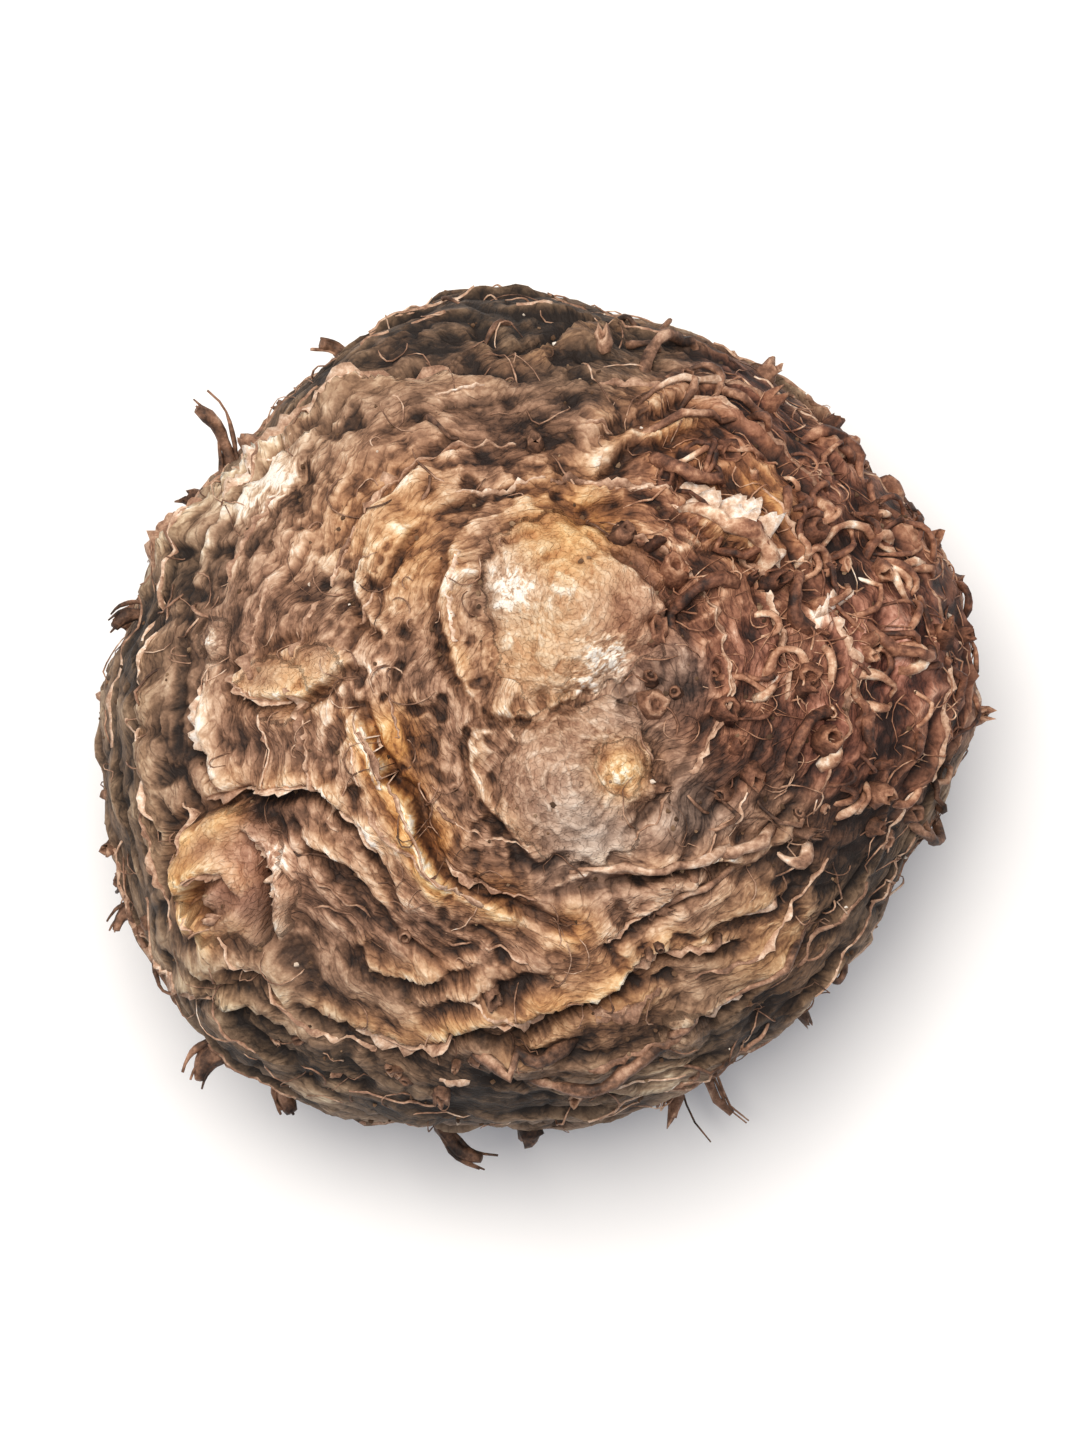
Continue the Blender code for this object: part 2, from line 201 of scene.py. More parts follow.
# Ledges where leaf bases and scales tore away: height of the lip in millimetres, how orange it is,
# and its points on plan as x, y, x, y in millimetres. The steep side is on the left of their way.
LEDGES = (
    (1.05, 0.1, (-17.2, 5.5, -15.0, 8.0, -12.8, 10.2, -8.6, 13.4, -3.5, 15.1, 0.7, 15.4)),
    (0.45, 0.0, (-14.5, 6.4, -12.7, 8.8, -10.3, 11.1, -8.6, 12.3)),
    (0.50, 0.2, (-0.9, 17.8, 1.0, 16.8, 3.9, 18.2, 7.6, 18.8)),
    (0.32, 0.4, (5.3, 1.3, 3.9, 0.1, 1.5, -0.8, -0.6, -0.2, -2.0, 2.4, -2.3, 5.1, -1.8, 7.9, 0.1, 9.7)),
    (0.40, 0.0, (5.0, 7.9, 6.5, 6.2, 8.1, 4.5, 9.3, 2.4)),
    (0.42, 0.2, (3.3, -6.9, 2.2, -7.1, 0.7, -5.9, -0.5, -4.6, -0.9, -2.5, -0.6, -1.5, 0.9, -1.3)),
    (0.70, 0.1, (-15.9, -6.2, -17.0, -3.2, -17.0, 0.2, -16.0, 3.6)),
    (0.95, 0.9, (-6.5, -0.4, -5.5, -2.5, -4.1, -4.9, -2.7, -7.7, -0.6, -9.4, 3.9, -11.2)),
    (0.75, 0.3, (-4.1, -9.4, -5.5, -6.7, -8.2, -4.2, -11.0, -4.1, -13.8, -4.6)),
    (0.55, 0.8, (-15.2, -8.6, -15.0, -6.6, -13.6, -5.6, -11.9, -5.1)),
    (1.20, 0.1, (-10.2, -10.8, -10.1, -8.9, -10.5, -7.4, -11.5, -6.2)),
    (0.75, 0.8, (-11.9, -8.8, -12.6, -7.9, -13.6, -8, -14.3, -9, -13.9, -10.1, -12.9, -10.4, -12.3, -9.8)),
    (0.80, 0.1, (-13.1, -3.9, -14.0, -1.8, -14.1, 1.0)),
    (0.40, 0.1, (-16.2, -8.5, -17.0, -6.0, -17.0, -3.4)),
    (0.45, 0.4, (-12.2, -0.6, -11.7, 1.4, -10.0, 2.5, -8.2, 3.0)),
    (0.60, 0.6, (-7.0, 1.9, -8.4, 0.7, -10.0, 0.0, -11.5, 0.5, -12.0, 1.8)),
    (0.55, 0.2, (-4.6, -10.4, -5.9, -8.6, -7.6, -7.2, -8.9, -6.4)),
    (0.45, 0.2, (-9.4, -14.9, -11.0, -13.5, -12.8, -12.9, -14.4, -11.8)),
    (0.75, 0.1, (-9.3, -16.0, -11.7, -14.6, -14.5, -13.3, -16.2, -12.2)),
    (0.55, 0.1, (-9.3, -14.3, -11.0, -12.6, -13.1, -12.2)),
    (0.95, 0.6, (11.9, -11.5, 8.1, -12.2, 5.7, -13.6, 2.9, -14.6, -0.6, -15.3, -4.1, -16.4, -8.9, -14.6)),
    (0.45, 0.3, (-0.9, -12.2, -3.2, -13.4, -5.4, -13.2, -6.6, -11.8)),
    (0.40, 0.2, (2.6, -12.7, -0.6, -13.7, -3.4, -14.7)),
    (0.55, 0.2, (14.2, -6.7, 12.4, -7.7, 10.7, -7.8, 6.6, -8.1, 3.1, -8.7)),
    (0.65, 0.1, (10.5, -8.5, 7.5, -10.2, 5.3, -11.4)),
    (0.50, 0.1, (14.6, -9.0, 12.4, -10.2, 9.6, -11.2)),
    (0.65, 0.1, (15.2, -11.9, 11.8, -14.1, 8.4, -15.7)),
    (0.60, 0.0, (13.1, -16.4, 10.4, -18.0, 7.5, -19.0, 5.5, -19.4)),
    (0.45, 0.3, (0.1, -17.4, 2.9, -16.0, 5.0, -14.6)),
    (0.70, 0.0, (12.8, 6.0, 11.7, 7.2, 10.2, 8.3, 8.8, 9.5)),
    (0.50, 0.3, (11.2, 14.9, 8.4, 14.5, 6.4, 13.8, 5.0, 12.8)),
    (0.50, 0.3, (11.6, 13.5, 9.1, 13.1, 6.4, 12.3, 5.3, 11.4)),
    (0.40, 0.2, (-7.0, 7.8, -4.9, 9.6, -2.8, 11.4, -0.6, 12.0)),
    (0.40, 0.2, (-5.0, 3.0, -6.2, 5.2, -5.6, 7.4)),
)
LEDGE_STEPS = 14
LEDGE_HEIGHT = 1.2  # how many times the lips stand higher than the list gives
LEDGE_SLOPE = 1.7  # how far the gentle side runs down, in millimetres
LEDGE_DROP = 0.14  # how far the steep side takes
LEDGE_FURROW = (0.54, 0.38, 1.05)  # its place beyond the lip, its half width, its depth as a share


def ledge_line(points):
    """Directions along a smooth line through plan offsets x, y, x, y in millimetres."""
    ways = [over_plan(x * MM, y * MM) for x, y in zip(points[::2], points[1::2])]
    ways = [2 * ways[0] - ways[1], *ways, 2 * ways[-1] - ways[-2]]
    return [
        curved(*ways[first : first + 4], step / LEDGE_STEPS).normalized()
        for first in range(len(ways) - 3)
        for step in range(LEDGE_STEPS)
    ]


def beside_line(ways, line):
    """How far directions lie left of a line, how near they are to it lengthwise, and its share there."""
    line = np.array(line)
    ahead = np.gradient(line, axis=0)
    ahead /= np.linalg.norm(ahead, axis=1)[:, None]
    left = np.cross(line, ahead)
    nearness = ways @ line.T
    nearest = np.argmax(nearness, axis=1)
    gap = (ways - line[nearest]) * (MEAN_RADIUS / MM)
    leftwards = np.einsum("ij,ij->i", gap, left[nearest])
    beyond = np.einsum("ij,ij->i", gap, ahead[nearest])
    near = np.exp(-((beyond / 0.5) ** 2)) * (nearness.max(axis=1) > 0.8)
    return leftwards, near, nearest / (len(line) - 1)


def noise_over(places, size, shift=0.0):
    """Smooth noise from -1 to 1 over places in millimetres, its lumps about as wide as size."""
    return np.array([noise.noise(place) for place in (places / size + shift).tolist()])


def winding(values, sharpness=2.6):
    """1 on thin winding crests of a noise, falling to 0 between them."""
    return np.clip(1 - sharpness * np.abs(values), 0, None) ** 1.5


# The cork's own relief, in millimetres: wrinkles that run round the rings, flaking plates, crumbs.
# Pairs give the width of the pattern, then its height.
GRAIN_STRETCH = 2.8  # how many times longer than wide a wrinkle is
PLEATS = (1.6, 0.26)
WRINKLES = (0.45, 0.10)
BUMPS = (3.0, 0.34)
CRUMBS = (0.90, 0.05)
GRIT = (0.45, 0.03)
PLATE_WIDTH, PLATE_STEP, PLATE_CRACK = 1.5, 0.18, 0.12
KNOTS = (1.7, 0.36)
PITS = (1.1, 0.34)
TICKS = (0.42, 0.10)  # short ridges that cross a band from ring to ring
EYE_RING_PITCH = 1.05
EYE_GRAIN = 2.5  # how much shorter the wrinkles on an eye are
EYE_GRAIN_SHIFT = 17.0  # gives each eye wrinkles of its own
EYE_RELIEF = 0.3  # the share of the pleats, bumps and pits that an eye has
FLAT_TOP = (0.88, 0.10, 0.30)  # the height of a direction it starts at, over how much more, how deep


def eye_grain(direction, angle, turn):
    """Distance out and heading about the rings' centre, or about the eye that a direction is on."""
    for number, (axis, radius, _, _, _) in enumerate(EYES):
        if direction.angle(axis) * MEAN_RADIUS < 1.3 * radius and eye_share(direction, number) < 1.05:
            side = axis.orthogonal().normalized()
            heading = math.atan2(direction.dot(axis.cross(side)), direction.dot(side))
            return direction.angle(axis) * MEAN_RADIUS / MM, heading, number
    return angle * MEAN_RADIUS / MM, turn, -1


def eye_rings(direction, out, heading, number):
    """Height in millimetres of the rings inside an eye, a fine lip at its rim included."""
    if number < 0:
        return 0.0
    _, _, _, depth, swirl = EYES[number]
    wobble = 0.9 * noise.noise(direction * 9.0) + 0.5 * noise.noise(direction * 21.0)
    phase = out / EYE_RING_PITCH + swirl * heading / math.pi * round(1 + swirl) + wobble
    crest = abs(phase % 1 - 0.5) * 2
    share = eye_share(direction, number)
    lip = math.exp(-(((share - 0.95) / 0.07) ** 2))
    return depth / MM * ((crest**2 - 0.3) * min(1.0, 0.35 + share) + 0.5 * lip)


CROWN_MIDDLE = bearing(CROWN[0] + 5, CROWN[1] + 2)


def crown_share(direction):
    """1 in the middle of the root crown, fading to 0 round it."""
    away = direction.angle(CROWN_MIDDLE) + 0.20 * noise.noise(direction * 5.0)
    return min(max((0.65 - away) / 0.20, 0.0), 1.0)


def on_an_eye(direction, clearance):
    """Whether a direction is nearer to an eye's middle than a number of its radii."""
    return any(direction.angle(eye[0]) * MEAN_RADIUS < clearance * eye[1] for eye in EYES)


# Patches of the growing side that differ in colour: plan offset and radius in millimetres, strength
PATCHES = {
    "warm": (
        (3.8, 8.4, 2.9, 1.0), (2.4, 3.0, 3.2, 0.5), (6.5, -3.4, 1.4, 1.0), (-4.8, -1.9, 1.5, 1.4),
        (-4.4, -4.2, 1.3, 1.4), (-2.9, -6.6, 1.2, 1.3), (0.4, -9.6, 1.3, 0.9), (4.2, -11.2, 1.3, 0.8),
        (-13.4, -6.6, 1.2, 0.5), (-9.6, 1.0, 1.8, 0.6), (-4.5, 8.0, 3.8, 0.6), (12.9, 9.6, 2.2, 1.0),
        (9.5, 13.0, 2.2, 0.6), (14.0, -11.5, 2.6, 0.5), (6.0, -14.0, 2.6, 0.5),
    ),
    # Pinker patches round the crown's rim, lighter too: real rosy colour with painted highlight.
    "rosy": (
        (19.6, 2.6, 3.4, 1.0), (16.6, -1.2, 2.6, 0.8), (13.4, 2.4, 2.2, 0.6), (11.6, 15.0, 3.0, 0.5),
        (16.0, 10.5, 2.4, 0.5), (-12.4, -8.4, 2.2, 0.6),
    ),
    "ashen": (
        (7.6, 1.0, 2.4, 0.8), (0.8, 5.0, 1.7, 0.6), (4.8, -6.4, 2.6, 0.8), (10.6, 2.2, 2.8, 1.0),
        (9.5, -5.5, 2.2, 0.6), (-7.2, 6.0, 1.4, 0.5),
    ),
    # Pale spots: torn cream skin, and painted glints on the dome.
    "pale": (
        (10.2, 8.3, 0.9, 1.0), (11.6, 7.2, 0.7, 0.9), (5.8, 2.2, 1.0, 1.6), (1.1, 5.5, 1.0, 1.4),
        (4.6, 0.9, 0.7, 1.2), (-5.5, 2.0, 0.8, 0.9), (-13.6, 3.1, 0.7, 0.8), (-5.9, -1.8, 0.9, 1.3),
        (-5.5, -3.0, 0.7, 1.2), (-11.5, 9.5, 0.8, 1.2), (-10.4, 10.4, 0.8, 1.3), (-9.3, 11.2, 0.8, 1.0),
        (6.5, -3.5, 0.7, 0.9), (9.4, -16.5, 0.7, 0.8), (8.9, -18.7, 0.7, 0.8), (-10.4, -7.4, 0.6, 0.9),
        (13.7, -11.0, 0.7, 1.0), (15.7, -10.8, 0.6, 1.0), (16.1, 4.5, 0.6, 0.9), (13.8, 1.3, 0.6, 0.9),
        (15.6, 1.3, 0.5, 0.9), (18.5, 2.7, 0.7, 0.9),
    ),
    # Lighter patches: rubbed skin, and painted highlight on the dome's top and along the upper-left ridge.
    "rubbed": (
        (3.0, 4.2, 4.4, 0.85), (4.4, -3.6, 4.0, 0.6), (-5.0, 8.5, 5.0, 0.20), (-9.0, 1.0, 3.0, 0.35),
        (-13.5, 8.5, 3.0, 0.20), (-18.5, -1.5, 4.0, 0.12), (7.8, 4.5, 3.5, 0.6), (-12.8, 9.4, 1.6, 0.8),
        (-10.6, 11.4, 1.6, 0.8), (-8.0, 13.2, 1.6, 0.8), (-5.0, 14.4, 1.5, 0.7), (-2.0, 15.0, 1.4, 0.6),
    ),
    # Darker patches: soil, and painted shade on the top rim, beside the dome and in the deepest hollows.
    "soiled": (
        (2.0, 19.5, 5.5, 1.0), (-4.0, 18.0, 3.0, 0.9), (-2.7, 17.3, 1.0, 1.3), (-0.3, 11.6, 0.9, 1.3),
        (-11.6, 7.9, 0.9, 1.1), (-9.7, 9.7, 0.7, 0.9), (-8.6, 4.6, 0.8, 0.9), (-14.8, 5.1, 0.9, 1.0),
        (-9.0, 16.2, 2.0, 0.7), (-15.4, -2.2, 1.3, 1.0), (-10.9, -5.0, 1.4, 0.9), (-8.3, -17.8, 1.1, 1.0),
        (-0.8, -18.6, 1.2, 1.0), (-12.2, -17.8, 2.2, 0.8), (-2.0, -11.6, 2.6, 0.4), (9.0, 3.7, 0.9, 0.8),
        (9.6, 0.4, 1.4, 0.7), (17.2, 6.2, 1.0, 1.0), (12.0, -5.0, 2.0, 0.6), (2.9, 13.6, 2.2, 1.0),
        (11.0, 17.0, 4.0, 0.6), (-3.4, -2.5, 1.2, 0.8), (0.8, -8.2, 1.8, 0.7), (9.5, -4.4, 2.4, 0.6),
        (-17.6, 2.4, 2.2, 0.9), (-17.0, -2.0, 2.0, 0.5), (-11.3, -8.4, 0.8, 1.0), (-7.0, -10.0, 2.4, 0.5),
        (-6.5, -13.8, 2.6, 0.5), (5.0, -16.5, 2.8, 0.8), (-3.0, -20.0, 4.5, 0.7), (17.5, -7.0, 4.5, 0.8),
        (13.0, -16.0, 3.5, 0.6), (-7.0, 4.0, 1.5, 0.5),
    ),
}
# The first three rosy patches, where stubs and roots get a painted highlight.
ROSY_HIGHLIGHTS = PATCHES["rosy"][:3]
COMBED_PATCHES = (
    (-6.6, -6.6, 2.2, 1.0), (-5.8, 6.0, 2.2, 1.0), (-7.6, 10.6, 2.6, 0.7), (7.6, 12.6, 2.4, 0.8),
    (6.0, -14.6, 2.6, 0.6),
)
LOWEST_PATCH = 0.1  # the patches' plan offsets hold for directions above this


def patch_strength(offset, patches):
    """The strongest of some soft-edged patches at a plan offset in millimetres."""
    strongest = 0.0
    for x, y, radius, strength in patches:
        away = (offset.x - x) ** 2 + (offset.y - y) ** 2
        strongest = max(strongest, strength * math.exp(-away / radius**2))
    return strongest


# A sphere's points moved onto the body, its rows closer together on the growing side
SKIN_SEGMENTS = 412
SKIN_ROWS = 240
shell = bmesh.new()
bmesh.ops.create_uvsphere(shell, u_segments=SKIN_SEGMENTS, v_segments=SKIN_ROWS, radius=1)
samples = []
for vert in shell.verts:
    row = round(math.acos(max(-1.0, min(1.0, vert.co.z))) / math.pi * SKIN_ROWS)
    turn = math.atan2(vert.co.y, vert.co.x)
    share = row / SKIN_ROWS
    angle = math.pi * (0.55 * share + 0.45 * share**3)
    base, normal, direction, seat, height = body_point(angle, turn)
    out, heading, number = eye_grain(direction, angle, turn)
    column = round(turn / math.tau * SKIN_SEGMENTS) % SKIN_SEGMENTS
    height = height / MM + eye_rings(direction, out, heading, number)
    flat = math.sin(out * MM / MEAN_RADIUS) * MEAN_RADIUS / MM * (EYE_GRAIN if number >= 0 else 1.0)
    grain = (flat * math.cos(heading), flat * math.sin(heading), out + EYE_GRAIN_SHIFT * (number + 1))
    combed = patch_strength((base - CENTRE) / MM, COMBED_PATCHES) if direction.z > LOWEST_PATCH else 0.0
    plain = EYE_RELIEF if number >= 0 else 1.0
    samples.append((row, column, base, normal, direction, seat, height, grain, combed, plain))
rows, columns, bases, normals, *samples = zip(*samples)
crowns = np.array([crown_share(direction) for direction in samples[0]])
ways, seats, heights, grains, combs, plain = (np.array(sample) for sample in samples)
places = ways * (MEAN_RADIUS / MM)

sway = 1.5 * noise_over(places, 5.0) + 0.55 * noise_over(places, 1.9, 3.0)
grains[:, 2] = GRAIN_STRETCH * (grains[:, 2] + sway)
roughness = 0.35 + 1.6 * np.abs(noise_over(places, 5.5, 9.0))
roughness *= np.clip(0.55 + 1.1 * np.abs(ways[:, 2]), 0.55, 1.0)

lips, orange = np.zeros(len(ways)), np.zeros(len(ways))
waver = 0.45 * noise_over(places, 2.8, 4.0) + 0.16 * noise_over(places, 0.9, 6.0)
uneven = 0.85 + 0.9 * noise_over(places, 1.8, 8.0)
ledge_lines = [ledge_line(points) for _, _, points in LEDGES]
for (lip, redness, _), line in zip(LEDGES, ledge_lines):
    leftwards, near, share = beside_line(ways, line)
    leftwards = leftwards + waver
    kept = np.clip(uneven + 0.25 * lip, 0.25, 1.3)
    strength = near * kept * np.sin(math.pi * np.clip(share, 0.04, 0.96)) ** 0.4
    gentle = np.exp(np.minimum(leftwards, 0) / LEDGE_SLOPE)
    steep = np.exp(-((np.maximum(leftwards, 0) / LEDGE_DROP) ** 2))
    place, width, depth = LEDGE_FURROW
    furrow = depth * np.exp(-(((leftwards - place) / width) ** 2))
    heights += LEDGE_HEIGHT * lip * strength * (gentle * steep - furrow)
    edge = strength * np.exp(-(((leftwards + 0.12) / 0.30) ** 2)) * min(1.0, 1.2 * lip)
    lips = np.maximum(lips, edge)
    orange = np.maximum(orange, redness * strength * np.exp(-(((leftwards + 0.4) / 0.9) ** 2)))

pleats = winding(noise_over(grains, PLEATS[0] * GRAIN_STRETCH))
wrinkles = winding(noise_over(grains, WRINKLES[0] * GRAIN_STRETCH, 5.0))
heights += roughness * (0.4 + 0.6 * plain) * (PLEATS[1] * pleats + WRINKLES[1] * wrinkles)
heights += BUMPS[1] * plain * noise_over(places, BUMPS[0], 2.0)
heights += CRUMBS[1] * (0.5 - winding(noise_over(places, CRUMBS[0], 11.0), 2.0)) * (1.5 - roughness)
heights += GRIT[1] * noise_over(places, GRIT[0], 12.0) * roughness
heights += KNOTS[1] * crowns * (winding(noise_over(places, KNOTS[0], 7.0)) - 0.3)
pits = np.clip(4 * (noise_over(places, PITS[0], 31.0) - 0.16), 0, 1) * (1 - crowns) * plain
pits *= np.clip(0.6 + 2 * noise_over(places, 6.0, 33.0), 0, 1)
heights -= PITS[1] * pits
heights -= FLAT_TOP[2] * np.clip((ways[:, 2] - FLAT_TOP[0]) / FLAT_TOP[1], 0, 1)

across_rings = grains / (TICKS[0], TICKS[0], 3.2 * GRAIN_STRETCH)
ticking = np.clip(2.5 * noise_over(places, 3.4, 21.0) - 0.1, 0, 1) * (1 - crowns)
heights += TICKS[1] * (ticking + 3.4 * combs) * noise_over(across_rings, 1.0)

plate_tones = []
for index, place in enumerate((grains / (PLATE_WIDTH * GRAIN_STRETCH)).tolist()):
    distances, points = noise.voronoi(Vector(place))
    random_step = noise.cell(points[0] * 37.3)
    crack = max(0.0, 1 - (distances[1] - distances[0]) / 0.16)
    heights[index] += (1 - crowns[index]) * (PLATE_STEP * 0.5 * random_step - PLATE_CRACK * crack)
    plate_tones.append(random_step)

grid = np.zeros((SKIN_ROWS + 1, SKIN_SEGMENTS))
grid[rows, columns] = heights
grid[0, :], grid[-1, :] = grid[0, 0], grid[-1, 0]


def levelled(grid, reach):
    """Each cell's mean with its neighbours up to a number of cells away, round the rings and across them."""
    steps = range(-reach, reach + 1)
    around = sum(np.roll(grid, step, axis=1) for step in steps) / len(steps)
    padded = np.pad(around, ((reach, reach), (0, 0)), mode="edge")
    return sum(padded[reach + step : reach + step + len(grid)] for step in steps) / len(steps)


# Each point's height above its neighbours, near and farther: it lightens the colour on crests and darkens it
# in hollows, painted highlight and painted shade, with soil in the furrows too.
crest_light_and_hollow_shade = 0.5 * np.clip((grid - levelled(grid, 3)) / 0.16, -1, 1)
crest_light_and_hollow_shade += 0.5 * np.clip((grid - levelled(grid, 10)) / 0.34, -1, 1)
crest_light_and_hollow_shade = crest_light_and_hollow_shade[rows, columns]

MARKS = "crest lip warm ashen pale rubbed soiled crown rosy plate bud flank".split()
grain_layer = shell.verts.layers.float_vector.new("grain")
mark_layers = {name: shell.verts.layers.float.new(name) for name in MARKS}
for index, vert in enumerate(shell.verts):
    rise = ways[index][2]
    vert.co = bases[index] + normals[index] * (heights[index] * MM * seats[index])
    vert.co.z = max(vert.co.z, 0.0)
    vert[grain_layer] = grains[index]
    offset = (vert.co - CENTRE) / MM
    above = 1.0 if rise > LOWEST_PATCH else 0.0
    values = {name: above * patch_strength(offset, patches) for name, patches in PATCHES.items()}
    values["warm"] = max(orange[index], values["warm"])
    # The pits are darker too: painted shade in them, with soil.
    values["soiled"] = max(0.6 * pits[index], values["soiled"])
    values |= {"crest": crest_light_and_hollow_shade[index], "lip": lips[index], "crown": crowns[index]}
    values |= {"plate": plate_tones[index], "bud": above * (1 - plain[index])}
    # The sides below the top are darker and greyer, less so on the crown: painted shade of the sides that
    # turn from the light.
    values["flank"] = min(max((0.70 - rise) / 0.35, 0.0), 1.0) * (1 - 0.8 * crowns[index])
    for name, layer in mark_layers.items():
        vert[layer] = values[name]


def finished(name, shape, smooth=True):
    """An object of a shape that is done, its faces smooth or flat."""
    for face in shape.faces:
        face.smooth = smooth
    mesh = bpy.data.meshes.new(name)
    shape.to_mesh(mesh)
    shape.free()
    made = bpy.data.objects.new(name, mesh)
    bpy.context.scene.collection.objects.link(made)
    return made


skin_tree = BVHTree.FromBMesh(shell)
skin = finished("tuber_skin", shell)


def on_skin(direction):
    """The point where a direction from the body's centre leaves the finished skin, and the form's normal."""
    start = CENTRE + direction * (2 * MEAN_RADIUS)
    point = skin_tree.ray_cast(start, -direction)[0]
    flat = Vector((direction.x, direction.y, direction.z * (MEAN_RADIUS / HALF_HEIGHT) ** 1.6))
    return point, flat.normalized()


def linear(colour):
    """The linear value of an sRGB colour given as six hex digits."""
    parts = [int(colour[place : place + 2], 16) / 255 for place in (0, 2, 4)]
    return (*((part / 12.92) if part <= 0.04045 else ((part + 0.055) / 1.055) ** 2.4 for part in parts), 1.0)


def add(tree, kind, sockets=None, stops=(), **settings):
    """A new node. Its sockets take values, or the nodes or outputs that feed them; a ramp takes stops."""
    made = tree.nodes.new("ShaderNode" + kind)
    for name, value in settings.items():
        setattr(made, name, value)
    for name, value in (sockets or {}).items():
        if isinstance(value, bpy.types.Node):
            value = value.outputs[0]
        if isinstance(value, bpy.types.NodeSocket):
            tree.links.new(value, made.inputs[name])
        else:
            made.inputs[name].default_value = value
    for index, (place, colour) in enumerate(stops):
        stop = made.color_ramp.elements[index] if index < 2 else made.color_ramp.elements.new(place)
        stop.position = place
        stop.color = linear(colour)
    return made


def bare_material(name):
    """A material whose tree has no nodes yet."""
    made = bpy.data.materials.new(name)
    made.use_nodes = True
    made.node_tree.nodes.clear()
    return made


# Suberised cork, dried in air: dull, darkest in the furrows where soil stays and where painted shade
# darkens every hollow, straw-pale where the ridges are rubbed and where painted highlight lightens the
# crests, the dome's top and the upper-left ridge. Fibres 0.14 mm wide run round the rings. Buds are
# orange to ashen, the crown is red-brown from its roots and lighter at its right rim with painted
# highlight, and the flank is greyer and darker than the growing side, its darkening painted shade of
# the sides that turn from the light.
cork = bare_material("dried_cork_skin")
tree = cork.node_tree
marks = {name: add(tree, "Attribute", attribute_name=name).outputs["Fac"] for name in MARKS}
grain = add(tree, "Attribute", attribute_name="grain").outputs["Vector"]
place = add(tree, "TexCoord").outputs["Object"]

# What each pattern follows, its width there, detail, roughness and distortion
PATTERNS = {
    "fibres": (grain, 0.14 * GRAIN_STRETCH, 4.0, 0.6, 0.0),
    "strands": (grain, 0.5 * GRAIN_STRETCH, 3.0, 0.6, 0.6),
    "bands": (grain, 1.7 * GRAIN_STRETCH, 2.0, 0.5, 0.4),
    "mottle": (place, 1.1 * MM, 4.0, 0.62, 0.0),
    "blotches": (place, 3.6 * MM, 3.0, 0.6, 0.0),
    "specks": (place, 0.24 * MM, 3.0, 0.7, 0.0),
}
patterns = {}
for name, (vector, width, detail, rough, stray) in PATTERNS.items():
    sockets = {"Vector": vector, "Scale": 1 / width, "Detail": detail, "Roughness": rough}
    patterns[name] = add(tree, "TexNoise", sockets | {"Distortion": stray})

# Cracks between flakes 0.45 mm wide that lie along the rings, their edges ragged
strayed = add(tree, "TexNoise", {"Vector": grain, "Scale": 0.9, "Detail": 3.0}).outputs["Color"]
ragged = add(tree, "VectorMath", {0: strayed, 1: (1.3, 1.3, 1.3), 2: grain}, operation="MULTIPLY_ADD")
sockets = {"Vector": ragged, "Scale": 1 / (0.45 * GRAIN_STRETCH)}
flakes = add(tree, "TexVoronoi", sockets, feature="DISTANCE_TO_EDGE")
patterns["whole"] = add(tree, "Math", {0: flakes, 1: 7.0, 2: 0.1}, operation="MULTIPLY_ADD", use_clamp=True)

# The tone runs from 0, darkest, to 1. The buds keep near one tone, and torn strands of lips and
# pale patches are bright; the pale patches on the dome are partly painted glints.
PATTERN_WEIGHTS = {"fibres": 0.27, "strands": 0.32, "bands": 0.42}
PATTERN_WEIGHTS |= {"mottle": 0.48, "blotches": 0.46, "specks": 0.28, "whole": 0.12}
# The flank and soiled marks darken with painted shade, the soiled one with soil too; the rubbed and rosy
# marks lighten with painted highlight as well as wear and colour.
MARK_WEIGHTS = {"plate": 0.06, "flank": -0.11, "rubbed": 0.27, "soiled": -0.28, "crown": -0.17, "rosy": 0.09}
BUD_TONE, BUD_CALM = 0.57, 0.60
# The crest mark sets the starting tone: painted shade in the hollows, painted highlight on the crests.
tone = add(tree, "Math", {0: marks["crest"], 1: 0.23, 2: 0.46}, operation="MULTIPLY_ADD")
for name, weight in PATTERN_WEIGHTS.items():
    centred = add(tree, "Math", {0: patterns[name], 1: 0.5}, operation="SUBTRACT")
    tone = add(tree, "Math", {0: centred, 1: weight, 2: tone}, operation="MULTIPLY_ADD")
calm = add(tree, "Math", {0: BUD_TONE, 1: tone}, operation="SUBTRACT")
calm = add(tree, "Math", {0: calm, 1: marks["bud"]}, operation="MULTIPLY")
tone = add(tree, "Math", {0: calm, 1: BUD_CALM, 2: tone}, operation="MULTIPLY_ADD")
torn = add(tree, "Math", {0: patterns["strands"], 1: 4.0, 2: -1.6}, operation="MULTIPLY_ADD", use_clamp=True)
bright = add(tree, "Math", {0: marks["lip"], 1: 0.30}, operation="MULTIPLY")
bright = add(tree, "Math", {0: marks["pale"], 1: 0.50, 2: bright}, operation="MULTIPLY_ADD")
tone = add(tree, "Math", {0: bright, 1: torn, 2: tone}, operation="MULTIPLY_ADD")
for name, weight in MARK_WEIGHTS.items():
    tone = add(tree, "Math", {0: marks[name], 1: weight, 2: tone}, operation="MULTIPLY_ADD")

TONE_PLACES = (0.06, 0.22, 0.40, 0.55, 0.70, 0.84, 0.98)
BROWN = ("22150f", "452e21", "70503d", "98725b", "be9a80", "dec2aa", "f6ebe0")
RUDDY = ("22110b", "47291b", "754a36", "9c6c51", "c29678", "e1c2a5", "f8ebdb")
TINTS = {
    # The flank's greyer tones go where its painted shade is.
    "flank": ("1f1610", "3e2f22", "68523f", "8a7159", "ac947a", "cebb9f", "efe6d6"),
    "ashen": ("2a211d", "50423b", "7b6a5f", "9d8b7e", "c0afa2", "ddd2c7", "f7f3ee"),
    "crown": RUDDY,
    "rosy": ("26120f", "50281f", "84503f", "ad7664", "cf9f8e", "e8c9bc", "faefe9"),
    "warm": ("2c180c", "60391e", "946036", "c0884f", "deae73", "eecd9a", "fbf0da"),
}


